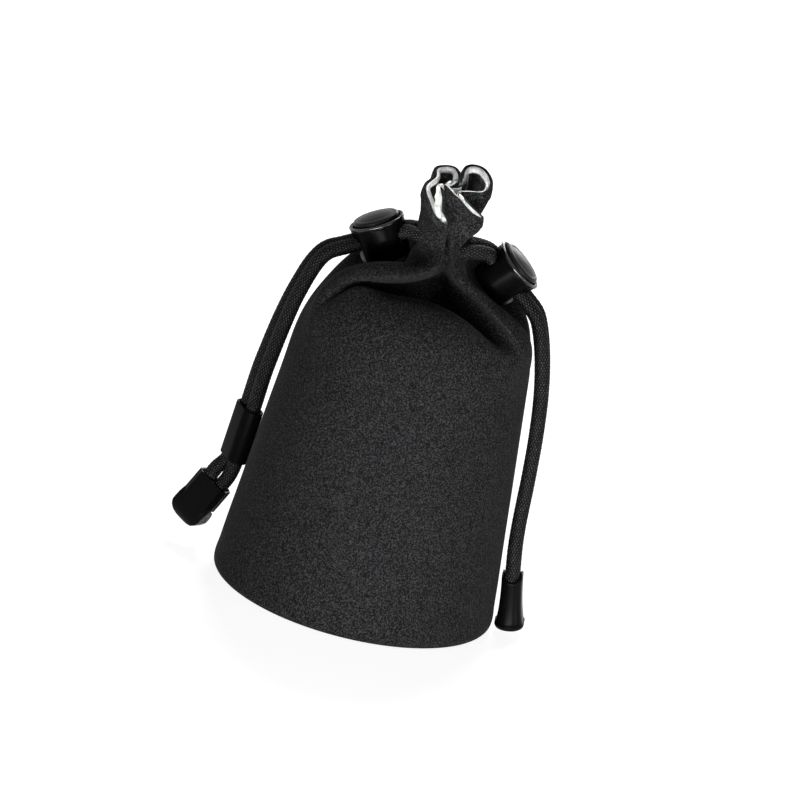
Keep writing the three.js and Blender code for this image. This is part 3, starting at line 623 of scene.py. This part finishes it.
# Plush knit: a soft pile of about 0.8 mm tufts, light grey, with a pale sheen at grazing angles
tuft_width = 0.8 * MM
plush, tree = start_material("grey_plush_knit")
where = add_node(tree, "ShaderNodeTexCoord")
tufts = add_node(tree, "ShaderNodeTexNoise", {
    "Vector": where.outputs["Object"], "Scale": 1 / tuft_width, "Detail": 3,
})
tuft_share = add_node(tree, "ShaderNodeMapRange", {
    "Value": tufts.outputs["Fac"], "From Min": 0.3, "From Max": 0.7,
})
unshaded_share = add_node(tree, "ShaderNodeAttribute", attribute_name="unshaded_pile")
tuft_colour = add_node(tree, "ShaderNodeMix", {
    0: tuft_share.outputs[0], 6: linear("#d8d8d7"), 7: linear("#fdfdfc"),
}, data_type="RGBA")
# Deeper in the folds the pale plush is mixed to near black: painted shade standing in for the
# shadow there
plush_colour = add_node(tree, "ShaderNodeMix", {
    0: unshaded_share.outputs["Fac"], 6: linear("#121213"), 7: tuft_colour.outputs[2],
}, data_type="RGBA")
plush_bump = add_node(tree, "ShaderNodeBump", {
    "Strength": 0.8, "Distance": 0.4 * MM, "Height": tufts.outputs["Fac"],
})
plush_surface = add_node(tree, "ShaderNodeBsdfPrincipled", {
    "Base Color": plush_colour.outputs[2], "Roughness": 1, "Specular IOR Level": 0.1,
    "Sheen Weight": 0.5, "Sheen Roughness": 0.5, "Normal": plush_bump.outputs[0],
})
add_node(tree, "ShaderNodeOutputMaterial", {"Surface": plush_surface.outputs[0]})

wall_lining = skin("wall_lining_plush", MM * lining_rings, plush, joined=True)
# The rim's edge rings keep the pale colour; further in, the painted shade takes over
shown = np.concatenate([np.ones((len(edge_shares), wall_columns)), unshaded_pile, unshaded_pile[::-1]])
unshaded_layer = wall_lining.data.attributes.new("unshaded_pile", "FLOAT", "POINT")
unshaded_layer.data.foreach_set("value", shown.ravel())
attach(wall_lining, "pouch")
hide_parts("wall_lining")


# Base
# Three discs are sewn into the lower end of the wall: softshell cloth under a foam pad under plush.
# A woven tape covers the seam on the inside. Each profile gives radius and height in millimetres.
base_cloth_profile = [(0.5, 0.0), (40.5, 0.0), (42.25, 0.0), (42.25, 1.2), (40.5, 1.2), (0.5, 1.2)]
base_cloth = skin("base_cloth", turned_rings(rounded(base_cloth_profile, radius=0.5)), softshell)
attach(base_cloth, "pouch")
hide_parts("base_outer")

pad_profile = [(0.5, 1.5), (41.4, 1.5), (41.4, 4.5), (37, 4.5), (0.5, 4.5)]
base_pad = skin("base_foam", turned_rings(rounded(pad_profile, radius=0.9)), foam)
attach(base_pad, "pouch")
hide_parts("base_padding")

base_plush_profile = [(0.5, 4.8), (40.1, 4.8), (40.1, 5.8), (30, 5.8), (15, 5.8), (0.5, 5.8)]
base_plush_rings = turned_rings(rounded(base_plush_profile, radius=0.4))
base_plush = skin("base_lining_plush", base_plush_rings, plush)
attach(base_plush, "pouch")
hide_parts("base_lining")

# Woven polyester tape: flat black ribs along it, 0.8 mm apart. A wave texture's bands are 0.314
# units apart at a scale of 1.
rib_spacing, band_spacing = 0.8 * MM, 0.314
tape, tree = start_material("woven_polyester_tape")
where = add_node(tree, "ShaderNodeTexCoord")
ribs = add_node(tree, "ShaderNodeTexWave", {
    "Vector": where.outputs["Object"], "Scale": band_spacing / rib_spacing, "Distortion": 0.4,
}, bands_direction="Z")
rib_colour = add_node(tree, "ShaderNodeMix", {
    0: ribs.outputs["Fac"], 6: linear("#0e0e0f"), 7: linear("#262627"),
}, data_type="RGBA")
rib_bump = add_node(tree, "ShaderNodeBump", {
    "Strength": 0.5, "Distance": 0.1 * MM, "Height": ribs.outputs["Fac"],
})
tape_surface = add_node(tree, "ShaderNodeBsdfPrincipled", {
    "Base Color": rib_colour.outputs[2], "Roughness": 0.75, "Normal": rib_bump.outputs[0],
})
add_node(tree, "ShaderNodeOutputMaterial", {"Surface": tape_surface.outputs[0]})

tape_bottom, tape_width = 6.1, 5.0
tape_outside, tape_inside = 5.6, 6.2
tape_profile = [
    (body_ring_radius(tape_bottom + rise) - inset, tape_bottom + rise) for rise, inset in (
        (0, tape_outside), (tape_width, tape_outside), (tape_width, tape_inside), (0, tape_inside),
    )
]
tape_rings = turned_rings(rounded(tape_profile, radius=0.2, closed=True))
seam_tape = skin("base_seam_tape_woven", tape_rings, tape, joined=True)
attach(seam_tape, "pouch")
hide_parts("base_seam_tape")


# Cord
# A braided polyester cord, 4.8 mm thick, runs round the neck in its channel. Two strands leave it
# at either side, pass a lock and hang down as tails. Each is a tube with its braid in relief.
cord_radius = 2.4 * MM
strand_half = 2.9
hands = {"left": -1, "right": 1}
strands = {"front": -1, "back": 1}
lock_places = {"left": (-0.0186, 0, 0.118), "right": (0.0227, 0, 0.1159)}
lock_leans = {"left": math.radians(-29), "right": math.radians(39)}
lock_turns = {
    hand: Matrix.Translation(lock_places[hand]) @ Matrix.Rotation(lock_leans[hand], 4, "Y")
    for hand in hands
}


def lock_point(hand, outward, side):
    """A point of a strand through a lock, outward of the lock's middle, at its front or back."""
    return tuple(lock_turns[hand] @ Vector((hands[hand] * outward, side * strand_half * MM, 0)))


def between(first, second, begin, end, places):
    """Values that go evenly from the first, where they begin, to the second, where they end."""
    return ((end - places) * first + (places - begin) * second) / (end - begin)


def smooth_line(points, spacing, steps=40):
    """A centripetal Catmull-Rom line through the points, evenly spaced, and its length."""
    points = np.array(points, float)
    points = np.vstack([2 * points[0] - points[1], points, 2 * points[-1] - points[-2]])
    line = [points[1][None]]
    for start in range(len(points) - 3):
        four = points[start:start + 4]
        chords = np.linalg.norm(np.diff(four, axis=0), axis=1)
        knots = np.concatenate([[0], np.cumsum(chords ** 0.5)])
        places = np.linspace(knots[1], knots[2], steps)[1:, None]
        legs = [between(four[i], four[i + 1], knots[i], knots[i + 1], places) for i in range(3)]
        bends = [between(legs[i], legs[i + 1], knots[i], knots[i + 2], places) for i in range(2)]
        line.append(between(bends[0], bends[1], knots[1], knots[2], places))
    line = np.concatenate(line)
    along = np.concatenate([[0], np.cumsum(np.linalg.norm(np.diff(line, axis=0), axis=1))])
    places = np.linspace(0, along[-1], int(along[-1] / spacing) + 1)
    return np.stack([np.interp(places, along, line[:, axis]) for axis in range(3)], 1), along[-1]


# Polyester yarn, braided, black: a painted sheen on each stitch's crown, and painted shade between
thread_width = 0.3 * MM
braid, tree = start_material("braided_polyester_cord")
crown = add_node(tree, "ShaderNodeAttribute", attribute_name="crown")
where = add_node(tree, "ShaderNodeTexCoord")
threads = add_node(tree, "ShaderNodeTexNoise", {
    "Vector": where.outputs["Object"], "Scale": 1 / thread_width, "Detail": 2,
})
lit = add_node(tree, "ShaderNodeMath", {
    0: crown.outputs["Fac"], 1: threads.outputs["Fac"],
}, operation="MULTIPLY")
lit_share = add_node(tree, "ShaderNodeMapRange", {
    "Value": lit.outputs[0], "From Min": 0.3, "From Max": 0.56,
})
# The crowns are painted pale as a painted highlight, and the gaps between stitches near black as
# painted shade
braid_colour = add_node(tree, "ShaderNodeMix", {
    0: lit_share.outputs[0], 6: linear("#020202"), 7: linear("#505051"),
}, data_type="RGBA")
braid_surface = add_node(tree, "ShaderNodeBsdfPrincipled", {
    "Base Color": braid_colour.outputs[2], "Roughness": 0.55, "Specular IOR Level": 0.08,
})
add_node(tree, "ShaderNodeOutputMaterial", {"Surface": braid_surface.outputs[0]})

# Sixteen yarns go round each way and cross over and under each other
braid_yarns = 16
stitch_length = 0.9 * MM
stitch_relief = 0.22 * MM
stitch_fullness, stitch_flatness = 0.9, 0.45
points_per_stitch = 4


def braided_cord(name, route):
    """A tube along the route with a plain braid in relief, its rings' middles and its length."""
    line, length = smooth_line(route, stitch_length / points_per_stitch)
    ahead = np.gradient(line, axis=0)
    ahead /= np.linalg.norm(ahead, axis=1, keepdims=True)

    # The sides turn with the route and not about it, so that the braid isn't twisted
    side = np.cross(ahead[0], (0.1, 1, 0.2))
    sides = []
    for direction in ahead:
        side = side - direction * side.dot(direction)
        side /= np.linalg.norm(side)
        sides.append(side)
    sides = np.array(sides)
    others = np.cross(ahead, sides)
    count = braid_yarns * points_per_stitch
    turns = np.arange(count) * 2 * math.pi / count

    # Each point's place in the yarn that runs one way and in the one that runs the other way
    run = np.arange(len(line)) * length / (len(line) - 1) / stitch_length
    one = braid_yarns * turns[None] / (2 * math.pi) + run[:, None] / 2
    other = braid_yarns * turns[None] / (2 * math.pi) - run[:, None] / 2
    one_on_top = (np.floor(one) + np.floor(other)) % 2
    one_arch, other_arch = np.sin(math.pi * (one % 1)), np.sin(math.pi * (other % 1))
    width = np.where(one_on_top, one_arch, other_arch)
    reach = np.where(one_on_top, other_arch, one_arch)
    stitch = width ** stitch_fullness * reach ** stitch_flatness
    radius = cord_radius - stitch_relief * (1 - stitch)
    spokes = np.cos(turns)[None, :, None] * sides[:, None]
    spokes = spokes + np.sin(turns)[None, :, None] * others[:, None]
    rings = line[:, None] + radius[..., None] * spokes
    piece = skin(name, rings, braid)
    # The stitch height also drives the braid's painted highlight and painted shade
    crowns = piece.data.attributes.new("crown", "FLOAT", "POINT")
    crowns.data.foreach_set("value", stitch.ravel())
    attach(piece, "pouch")
    return piece, line, length


# The stretches in the channel go from lock to lock. A cord's path is told by every third ring.
channel_bends = [
    (-0.0046, 0.005, 0.12165), (-0.001, 0.0069, 0.12005), (0.002, 0.0069, 0.11925),
    (0.005, 0.0069, 0.11965), (0.0088, 0.0052, 0.12125),
]
lock_approach = (0.00015, 0.005, 0.009)
for strand, side in strands.items():
    route = [lock_point("left", -inward, side) for inward in lock_approach]
    route += [(x, side * y, z) for x, y, z in channel_bends]
    route += [lock_point("right", -inward, side) for inward in reversed(lock_approach)]
    piece, line, length = braided_cord(f"channel_cord_{strand}_braid", route)
    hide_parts(f"channel_cord_{strand}")

# Each tail runs straight out of its lock for 14 mm and then falls. The left ones come together in
# the sleeve and the clip. The right ones lie side by side, so one fall serves for both.
straight_stops = (0.00015, 0.005, 0.010, 0.013, 0.014)
left_falls = {
    "front": [
        (-0.033, -0.00285, 0.1098), (-0.0348, -0.0027, 0.1076), (-0.0362, -0.0024, 0.1047),
        (-0.0374, -0.002, 0.1012), (-0.0385, -0.0014, 0.0972), (-0.04, -0.0003, 0.0908),
        (-0.0411, 0.001, 0.0842), (-0.0421, 0.0024, 0.0772), (-0.043, 0.004, 0.07),
        (-0.0438, 0.0056, 0.0628), (-0.044512, 0.007962, 0.051593), (-0.044697, 0.007989, 0.0492),
        (-0.046097, 0.008189, 0.0311), (-0.046116, 0.008192, 0.030851), (-0.0465, 0.0085, 0.028),
        (-0.0474, 0.0088, 0.0246), (-0.048916, 0.008922, 0.021301), (-0.050212, 0.008922, 0.018596),
        (-0.051508, 0.008922, 0.01589),
    ],
    "back": [
        (-0.0332, 0.003, 0.11), (-0.0353, 0.0032, 0.1081), (-0.0371, 0.0035, 0.1052),
        (-0.0386, 0.0039, 0.1016), (-0.0399, 0.0044, 0.0974), (-0.0416, 0.0053, 0.091),
        (-0.043, 0.0064, 0.0843), (-0.0442, 0.0076, 0.0772), (-0.0452, 0.009, 0.07),
        (-0.0461, 0.0104, 0.0628), (-0.046918, 0.012685, 0.051593), (-0.047103, 0.012711, 0.0492),
        (-0.048503, 0.012911, 0.0311), (-0.048522, 0.012914, 0.030851), (-0.05, 0.0126, 0.0283),
        (-0.0517, 0.0119, 0.0261), (-0.053084, 0.011078, 0.023299), (-0.054381, 0.011078, 0.020593),
        (-0.055677, 0.011078, 0.017888),
    ],
}
right_fall = [
    (0.0355, 0.0029, 0.1049), (0.0373, 0.0029, 0.1012), (0.039, 0.0029, 0.0964),
    (0.0406, 0.0029, 0.0907), (0.042, 0.00285, 0.0845), (0.0432, 0.00285, 0.0776),
    (0.0441, 0.0028, 0.0704), (0.0448, 0.0028, 0.0632), (0.0453, 0.00275, 0.056),
    (0.0457, 0.0027, 0.049), (0.046, 0.00265, 0.042), (0.0464, 0.0026, 0.035),
    (0.047, 0.0026, 0.0286), (0.0482, 0.0026, 0.0206), (0.048808, 0.0026, 0.017153),
    (0.049416, 0.0026, 0.013706),
]
tails = {}
for strand, side in strands.items():
    falls = {"left": left_falls[strand], "right": [(x, side * y, z) for x, y, z in right_fall]}
    for hand in hands:
        route = [lock_point(hand, outward, side) for outward in straight_stops] + falls[hand]
        tails[hand, strand] = braided_cord(f"{hand}_cord_{strand}_braid", route)
        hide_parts(f"{hand}_cord_{strand}")


# Cord locks
# Each lock is a tapered barrel moulded in black plastic with two cord holes, a domed button that
# slides in it and a steel spring between them. The spring presses the button against the strands.
def keep_shaped(piece):
    """Keeps what a piece's modifiers have made of it as its mesh."""
    bpy.context.view_layer.update()
    shaped = piece.evaluated_get(bpy.context.evaluated_depsgraph_get())
    piece.data = bpy.data.meshes.new_from_object(shaped)
    piece.modifiers.clear()


def cut_by(piece, tools):
    """Cuts the tools out of a piece and keeps the result in its mesh."""
    for tool in tools:
        cutting = piece.modifiers.new("cut", "BOOLEAN")
        cutting.object = tool
        cutting.solver = "EXACT"
    keep_shaped(piece)
    for tool in tools:
        bpy.data.objects.remove(tool)


def hole_rod(reach, y, z, segments=40):
    """A rod along X to cut a cord's hole with, in millimetres."""
    rings = turned_rings([(hole_radius, -reach), (hole_radius, reach)], segments)
    rings = np.stack([rings[..., 2], rings[..., 0] + y * MM, rings[..., 1] + z * MM], 2)
    return skin("hole", rings, lock_plastic)


grain_width = 0.4 * MM


def black_acetal(name, gloss, roughness):
    """Acetal with a fine grain. The gloss and the range of roughness make it dull or polished."""
    acetal, tree = start_material(name)
    where = add_node(tree, "ShaderNodeTexCoord")
    grain = add_node(tree, "ShaderNodeTexNoise", {
        "Vector": where.outputs["Object"], "Scale": 1 / grain_width, "Detail": 2,
    })
    grain_bump = add_node(tree, "ShaderNodeBump", {
        "Strength": 0.12, "Distance": 0.05 * MM, "Height": grain.outputs["Fac"],
    })
    grain_colour = add_node(tree, "ShaderNodeMix", {
        0: grain.outputs["Fac"], 6: linear("#040404"), 7: linear("#0a0a0b"),
    }, data_type="RGBA")
    grain_rough = add_node(tree, "ShaderNodeMapRange", {
        "Value": grain.outputs["Fac"], "To Min": roughness[0], "To Max": roughness[1],
    })
    surface = add_node(tree, "ShaderNodeBsdfPrincipled", {
        "Base Color": grain_colour.outputs[2], "Roughness": grain_rough.outputs[0],
        "Specular IOR Level": gloss, "Normal": grain_bump.outputs[0],
    })
    add_node(tree, "ShaderNodeOutputMaterial", {"Surface": surface.outputs[0]})
    return acetal


# Acetal from a mould with a fine matt texture: black and dull. The collar's part of the mould is
# polished, so that it shows a thin bright line.
lock_plastic = black_acetal("moulded_black_acetal", gloss=0.02, roughness=(0.22, 0.32))
collar_plastic = black_acetal("polished_black_acetal", gloss=0.45, roughness=(0.14, 0.18))

# Acetal from a spark-eroded mould: the button's face is coarser, and a little paler and duller
pit_width = 0.5 * MM
button_plastic, tree = start_material("spark_eroded_black_acetal")
where = add_node(tree, "ShaderNodeTexCoord")
pits = add_node(tree, "ShaderNodeTexNoise", {
    "Vector": where.outputs["Object"], "Scale": 1 / pit_width, "Detail": 3,
})
pit_bump = add_node(tree, "ShaderNodeBump", {
    "Strength": 0.2, "Distance": 0.06 * MM, "Height": pits.outputs["Fac"],
})
pit_colour = add_node(tree, "ShaderNodeMix", {
    0: pits.outputs["Fac"], 6: linear("#101011"), 7: linear("#1c1c1d"),
}, data_type="RGBA")
button_surface = add_node(tree, "ShaderNodeBsdfPrincipled", {
    "Base Color": pit_colour.outputs[2], "Roughness": 0.34, "Specular IOR Level": 0.1,
    "Normal": pit_bump.outputs[0],
})
add_node(tree, "ShaderNodeOutputMaterial", {"Surface": button_surface.outputs[0]})

# Spring steel, drawn to wire: bright, with a fine unevenness in its shine from the drawing
drawn_width = 0.3 * MM
spring_steel, tree = start_material("drawn_spring_steel")
where = add_node(tree, "ShaderNodeTexCoord")
drawn = add_node(tree, "ShaderNodeTexNoise", {
    "Vector": where.outputs["Object"], "Scale": 1 / drawn_width, "Detail": 2,
})
drawn_rough = add_node(tree, "ShaderNodeMapRange", {
    "Value": drawn.outputs["Fac"], "To Min": 0.22, "To Max": 0.4,
})
drawn_colour = add_node(tree, "ShaderNodeMix", {
    0: drawn.outputs["Fac"], 6: linear("#a4a6a8"), 7: linear("#c4c6c8"),
}, data_type="RGBA")
steel_surface = add_node(tree, "ShaderNodeBsdfPrincipled", {
    "Base Color": drawn_colour.outputs[2], "Metallic": 1, "Roughness": drawn_rough.outputs[0],
})
add_node(tree, "ShaderNodeOutputMaterial", {"Surface": steel_surface.outputs[0]})

# Radius and height in millimetres, about the lock's own axis. The collar is what lies above and
# outside of the two values that are named for it.
lock_segments = 112
hole_radius = 2.65
barrel_rounding, button_rounding = 0.55, 0.3
collar_low, collar_inside = 4.4, 8.4
barrel_profile = [
    (0.3, -7.3), (7.6, -7.3), (8.75, 4.2), (8.55, 4.45), (9.0, 4.65), (9.0, 5.6), (7.75, 5.6),
    (7.75, 1.8), (6.7, 1.8), (6.7, -6.3), (0.3, -6.3),
]
button_profile = [
    (0.3, -3.55), (6.35, -3.55), (6.35, 3.9), (7.4, 3.9), (7.4, 6.25), (7.05, 6.75), (6.2, 6.95),
    (5.95, 6.8), (5.6, 6.95), (4.2, 7.35), (2.2, 7.7), (0.3, 7.8),
]
button_travel = 1.8
barrel_rod, button_rod = 14, 12

# The spring is a cone of three curls, so that they nest when the button goes down. It keeps 29 % of
# its height then.
spring_foot, spring_top = -6.2, -3.65
spring_wide, spring_narrow = 5.8, 2.6
spring_curls, curl_steps = 3, 36
wire_radius, wire_sides = 0.3, 12
shares = np.linspace(0, 1, curl_steps * spring_curls + 1)[:, None]
turns = 2 * math.pi * spring_curls * shares
wire_turns = 2 * math.pi * np.arange(wire_sides)[None] / wire_sides
curl_radius = spring_wide + (spring_narrow - spring_wide) * shares
curl_radius = curl_radius + wire_radius * np.cos(wire_turns)
curl_height = spring_foot + wire_radius + (spring_top - spring_foot - 2 * wire_radius) * shares
curl_height = curl_height + wire_radius * np.sin(wire_turns)
spring_rings = MM * np.stack([
    curl_radius * np.cos(turns), curl_radius * np.sin(turns), curl_height,
], 2)

for hand, lock_turn in lock_turns.items():
    barrel_rings = turned_rings(rounded(barrel_profile, barrel_rounding), lock_segments)
    barrel = skin(f"{hand}_barrel", barrel_rings, lock_plastic)
    cut_by(barrel, [hole_rod(barrel_rod, side * strand_half, 0) for side in strands.values()])
    barrel.data.materials.append(collar_plastic)
    for face in barrel.data.polygons:
        if face.center.z > collar_low * MM and face.center.xy.length > collar_inside * MM:
            face.material_index = 1
    barrel.data.transform(lock_turn)
    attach(barrel, f"{hand}_lock")
    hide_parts(f"{hand}_lock_barrel")

    # The button's holes are as much taller than the cord as the button travels
    button_rings = turned_rings(rounded(button_profile, button_rounding), lock_segments)
    button = skin(f"{hand}_button_domed", button_rings, button_plastic)
    cut_by(button, [
        hole_rod(button_rod, side * strand_half, rise)
        for side in strands.values() for rise in (0, button_travel / 2, button_travel)
    ])
    button.data.transform(lock_turn)
    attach(button, f"{hand}_button")
    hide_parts(f"{hand}_lock_button")

    spring = skin(f"{hand}_spring_coil", spring_rings, spring_steel)
    spring.data.transform(lock_turn)
    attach(spring, f"{hand}_lock")
    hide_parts(f"{hand}_lock_spring")
    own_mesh(spring)


# Sleeve
# A flat sleeve of soft black plastic, extruded and cut to length, keeps the two left tails
# together. It is pushed on over them and stays where it is by friction.
def oval(spacing, radius, count=72):
    """Points round a flat outline along X, whose round ends have their middles at the spacing."""
    half = count // 2
    turns = np.concatenate([
        np.linspace(-math.pi / 2, math.pi / 2, half),
        np.linspace(math.pi / 2, 3 * math.pi / 2, half),
    ])
    middles = np.concatenate([np.full(half, spacing / 2), np.full(half, -spacing / 2)])
    return np.stack([middles + radius * np.cos(turns), radius * np.sin(turns)], 1)


def standing(origin, axis, along_x):
    """Places a piece made along -Z: its -Z goes along the axis, and its X along the other one."""
    up = -Vector(axis).normalized()
    across_it = Vector(along_x)
    across_it = (across_it - up * across_it.dot(up)).normalized()
    turn = Matrix((across_it, up.cross(across_it), up)).transposed().to_4x4()
    return Matrix.Translation(origin) @ turn


def oval_rings(spacing, profile, dip=None):
    """Oval rings in metres from profile points of radius and depth in millimetres. A dip gives the
    depth of every point of a ring instead."""
    rings = []
    for radius, depth in profile:
        outline = oval(spacing, radius)
        depths = np.full(len(outline), -depth) if dip is None else -dip(outline, radius, depth)
        rings.append(np.column_stack([outline, depths]))
    return np.array(rings) * MM


# Polyurethane, extruded: smooth and black with a dull gloss and faint lines along it
draw_width, draw_stretch = 0.5 * MM, 0.06
sleeve_plastic, tree = start_material("extruded_black_polyurethane")
where = add_node(tree, "ShaderNodeTexCoord")
stretched = add_node(tree, "ShaderNodeMapping", {
    "Vector": where.outputs["Object"], "Scale": (1, 1, draw_stretch),
})
draw_lines = add_node(tree, "ShaderNodeTexNoise", {
    "Vector": stretched.outputs[0], "Scale": 1 / draw_width, "Detail": 2,
})
draw_bump = add_node(tree, "ShaderNodeBump", {
    "Strength": 0.1, "Distance": 0.06 * MM, "Height": draw_lines.outputs["Fac"],
})
sleeve_colour = add_node(tree, "ShaderNodeMix", {
    0: draw_lines.outputs["Fac"], 6: linear("#050505"), 7: linear("#0c0c0d"),
}, data_type="RGBA")
sleeve_surface = add_node(tree, "ShaderNodeBsdfPrincipled", {
    "Base Color": sleeve_colour.outputs[2], "Roughness": 0.38, "Specular IOR Level": 0.02,
    "Normal": draw_bump.outputs[0],
})
add_node(tree, "ShaderNodeOutputMaterial", {"Surface": sleeve_surface.outputs[0]})

sleeve_top = Vector((-0.0459, 0.01035, 0.0492))
sleeve_bottom = Vector((-0.0473, 0.01055, 0.0311))
sleeve_turn = math.radians(117)
sleeve_across = (math.cos(sleeve_turn), math.sin(sleeve_turn), 0)
sleeve_length = (sleeve_top - sleeve_bottom).length / MM
sleeve_spacing, sleeve_inside, sleeve_outside, sleeve_rounding = 5.3, 2.65, 3.45, 0.45
sleeve_profile = [
    (sleeve_inside, 0), (sleeve_outside, 0),
    (sleeve_outside, sleeve_length), (sleeve_inside, sleeve_length),
]
sleeve_rings = oval_rings(sleeve_spacing, rounded(sleeve_profile, sleeve_rounding, closed=True))
sleeve = skin("cord_sleeve_flat", sleeve_rings, sleeve_plastic, joined=True)
sleeve.data.transform(standing(sleeve_top, sleeve_bottom - sleeve_top, sleeve_across))
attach(sleeve, "pouch")
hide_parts("cord_sleeve")


# Clip
# The left tails end in a clip of two moulded shells, with flat faces and broad bevels. The lid
# turns on a steel pin at the closed end, and the shells grip the cord ends between them.

# Nylon, moulded: black and half dull, a little cloudy where it flowed into the mould
flow_width = 0.6 * MM
end_plastic, tree = start_material("moulded_black_nylon")
where = add_node(tree, "ShaderNodeTexCoord")
flow = add_node(tree, "ShaderNodeTexNoise", {
    "Vector": where.outputs["Object"], "Scale": 1 / flow_width, "Detail": 3,
})
flow_bump = add_node(tree, "ShaderNodeBump", {
    "Strength": 0.1, "Distance": 0.05 * MM, "Height": flow.outputs["Fac"],
})
flow_colour = add_node(tree, "ShaderNodeMix", {
    0: flow.outputs["Fac"], 6: linear("#060606"), 7: linear("#0e0e0f"),
}, data_type="RGBA")
flow_rough = add_node(tree, "ShaderNodeMapRange", {
    "Value": flow.outputs["Fac"], "To Min": 0.26, "To Max": 0.38,
})
end_surface = add_node(tree, "ShaderNodeBsdfPrincipled", {
    "Base Color": flow_colour.outputs[2], "Roughness": flow_rough.outputs[0],
    "Specular IOR Level": 0.04, "Normal": flow_bump.outputs[0],
})
add_node(tree, "ShaderNodeOutputMaterial", {"Surface": end_surface.outputs[0]})

# The shells are the solids' own, with triangles joined to flat faces and sharp edges rounded
clip_edge, sharp_edge, crease = 0.28 * MM, math.radians(30), math.radians(40)
same_point, same_plane = 0.01 * MM, math.radians(1)
for node, body in (("clip_base", "pouch"), ("clip_lid", "clip_lid")):
    shaped = bmesh.new()
    shaped.from_mesh(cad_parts[node].data)
    bmesh.ops.remove_doubles(shaped, verts=shaped.verts, dist=same_point)
    bmesh.ops.dissolve_limit(shaped, angle_limit=same_plane, verts=shaped.verts, edges=shaped.edges)
    mesh = bpy.data.meshes.new(f"{node}_shell")
    shaped.to_mesh(mesh)
    shaped.free()
    mesh.materials.append(end_plastic)
    shell = bpy.data.objects.new(f"{node}_shell", mesh)
    scene.collection.objects.link(shell)
    edges = shell.modifiers.new("edges", "BEVEL")
    edges.width, edges.segments = clip_edge, 3
    edges.limit_method, edges.angle_limit = "ANGLE", sharp_edge
    keep_shaped(shell)
    shell.data.polygons.foreach_set("use_smooth", [True] * len(shell.data.polygons))
    shell.data.set_sharp_from_angle(angle=crease)
    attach(shell, body)
    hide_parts(node)

# Steel, blackened in a bath: the pin is dark and dull, with a fine grain
bath_width = 0.3 * MM
pin_steel, tree = start_material("blackened_steel")
where = add_node(tree, "ShaderNodeTexCoord")
bath = add_node(tree, "ShaderNodeTexNoise", {
    "Vector": where.outputs["Object"], "Scale": 1 / bath_width, "Detail": 2,
})
bath_colour = add_node(tree, "ShaderNodeMix", {
    0: bath.outputs["Fac"], 6: linear("#0c0c0d"), 7: linear("#1a1a1b"),
}, data_type="RGBA")
pin_surface = add_node(tree, "ShaderNodeBsdfPrincipled", {
    "Base Color": bath_colour.outputs[2], "Metallic": 1, "Roughness": 0.45,
})
add_node(tree, "ShaderNodeOutputMaterial", {"Surface": pin_surface.outputs[0]})
clip_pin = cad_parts["clip_pin"]
clip_pin.data.materials.clear()
clip_pin.data.materials.append(pin_steel)
for strand in strands:
    piece, line, length = tails["left", strand]


# Bell end
# The right tails end in a flared cup of moulded plastic, oval in plan. Its mouth dips at front and
# back, and the cord ends are pressed into its pocket.
bell_mouth = Vector((0.0482, 0, 0.0206))
bell_lean = math.radians(10)
bell_axis = (math.sin(bell_lean), 0, -math.cos(bell_lean))
bell_length, bell_spacing = 18.4, 5.2
bell_neck, bell_flare, foot_rounding = 3.35, 1.4, 1.6
pocket_radius, pocket_depth = 2.65, 9.0
mouth_dip, dip_reach = 2.2, 9
bell_side = [
    (bell_neck + bell_flare * share ** 3, bell_length * share) for share in np.linspace(0, 0.9, 24)
]
bell_foot = [
    (
        bell_neck + bell_flare - foot_rounding * (1 - math.cos(turn)),
        bell_length - foot_rounding * (1 - math.sin(turn)),
    )
    for turn in np.linspace(0, math.pi / 2, 8)
]
bell_profile = [
    (pocket_radius, pocket_depth), (pocket_radius, 0.3), (2.85, 0.05), (3.1, 0.0),
    *bell_side[1:], *bell_foot, (1.5, bell_length),
]


def bell_dip(outline, radius, depth):
    """The depth of a ring's points, lower at either end of the oval near the mouth."""
    ends = (np.abs(outline[:, 0]) / (bell_spacing / 2 + radius)) ** 2
    return depth + mouth_dip * ends * max(0, 1 - depth / dip_reach) ** 2


bell = skin("bell_end_flared", oval_rings(bell_spacing, bell_profile, bell_dip), end_plastic)
bell.data.transform(standing(bell_mouth, bell_axis, (0, 1, 0)))
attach(bell, "pouch")
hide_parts("bell_end")
for strand in strands:
    piece, line, length = tails["right", strand]
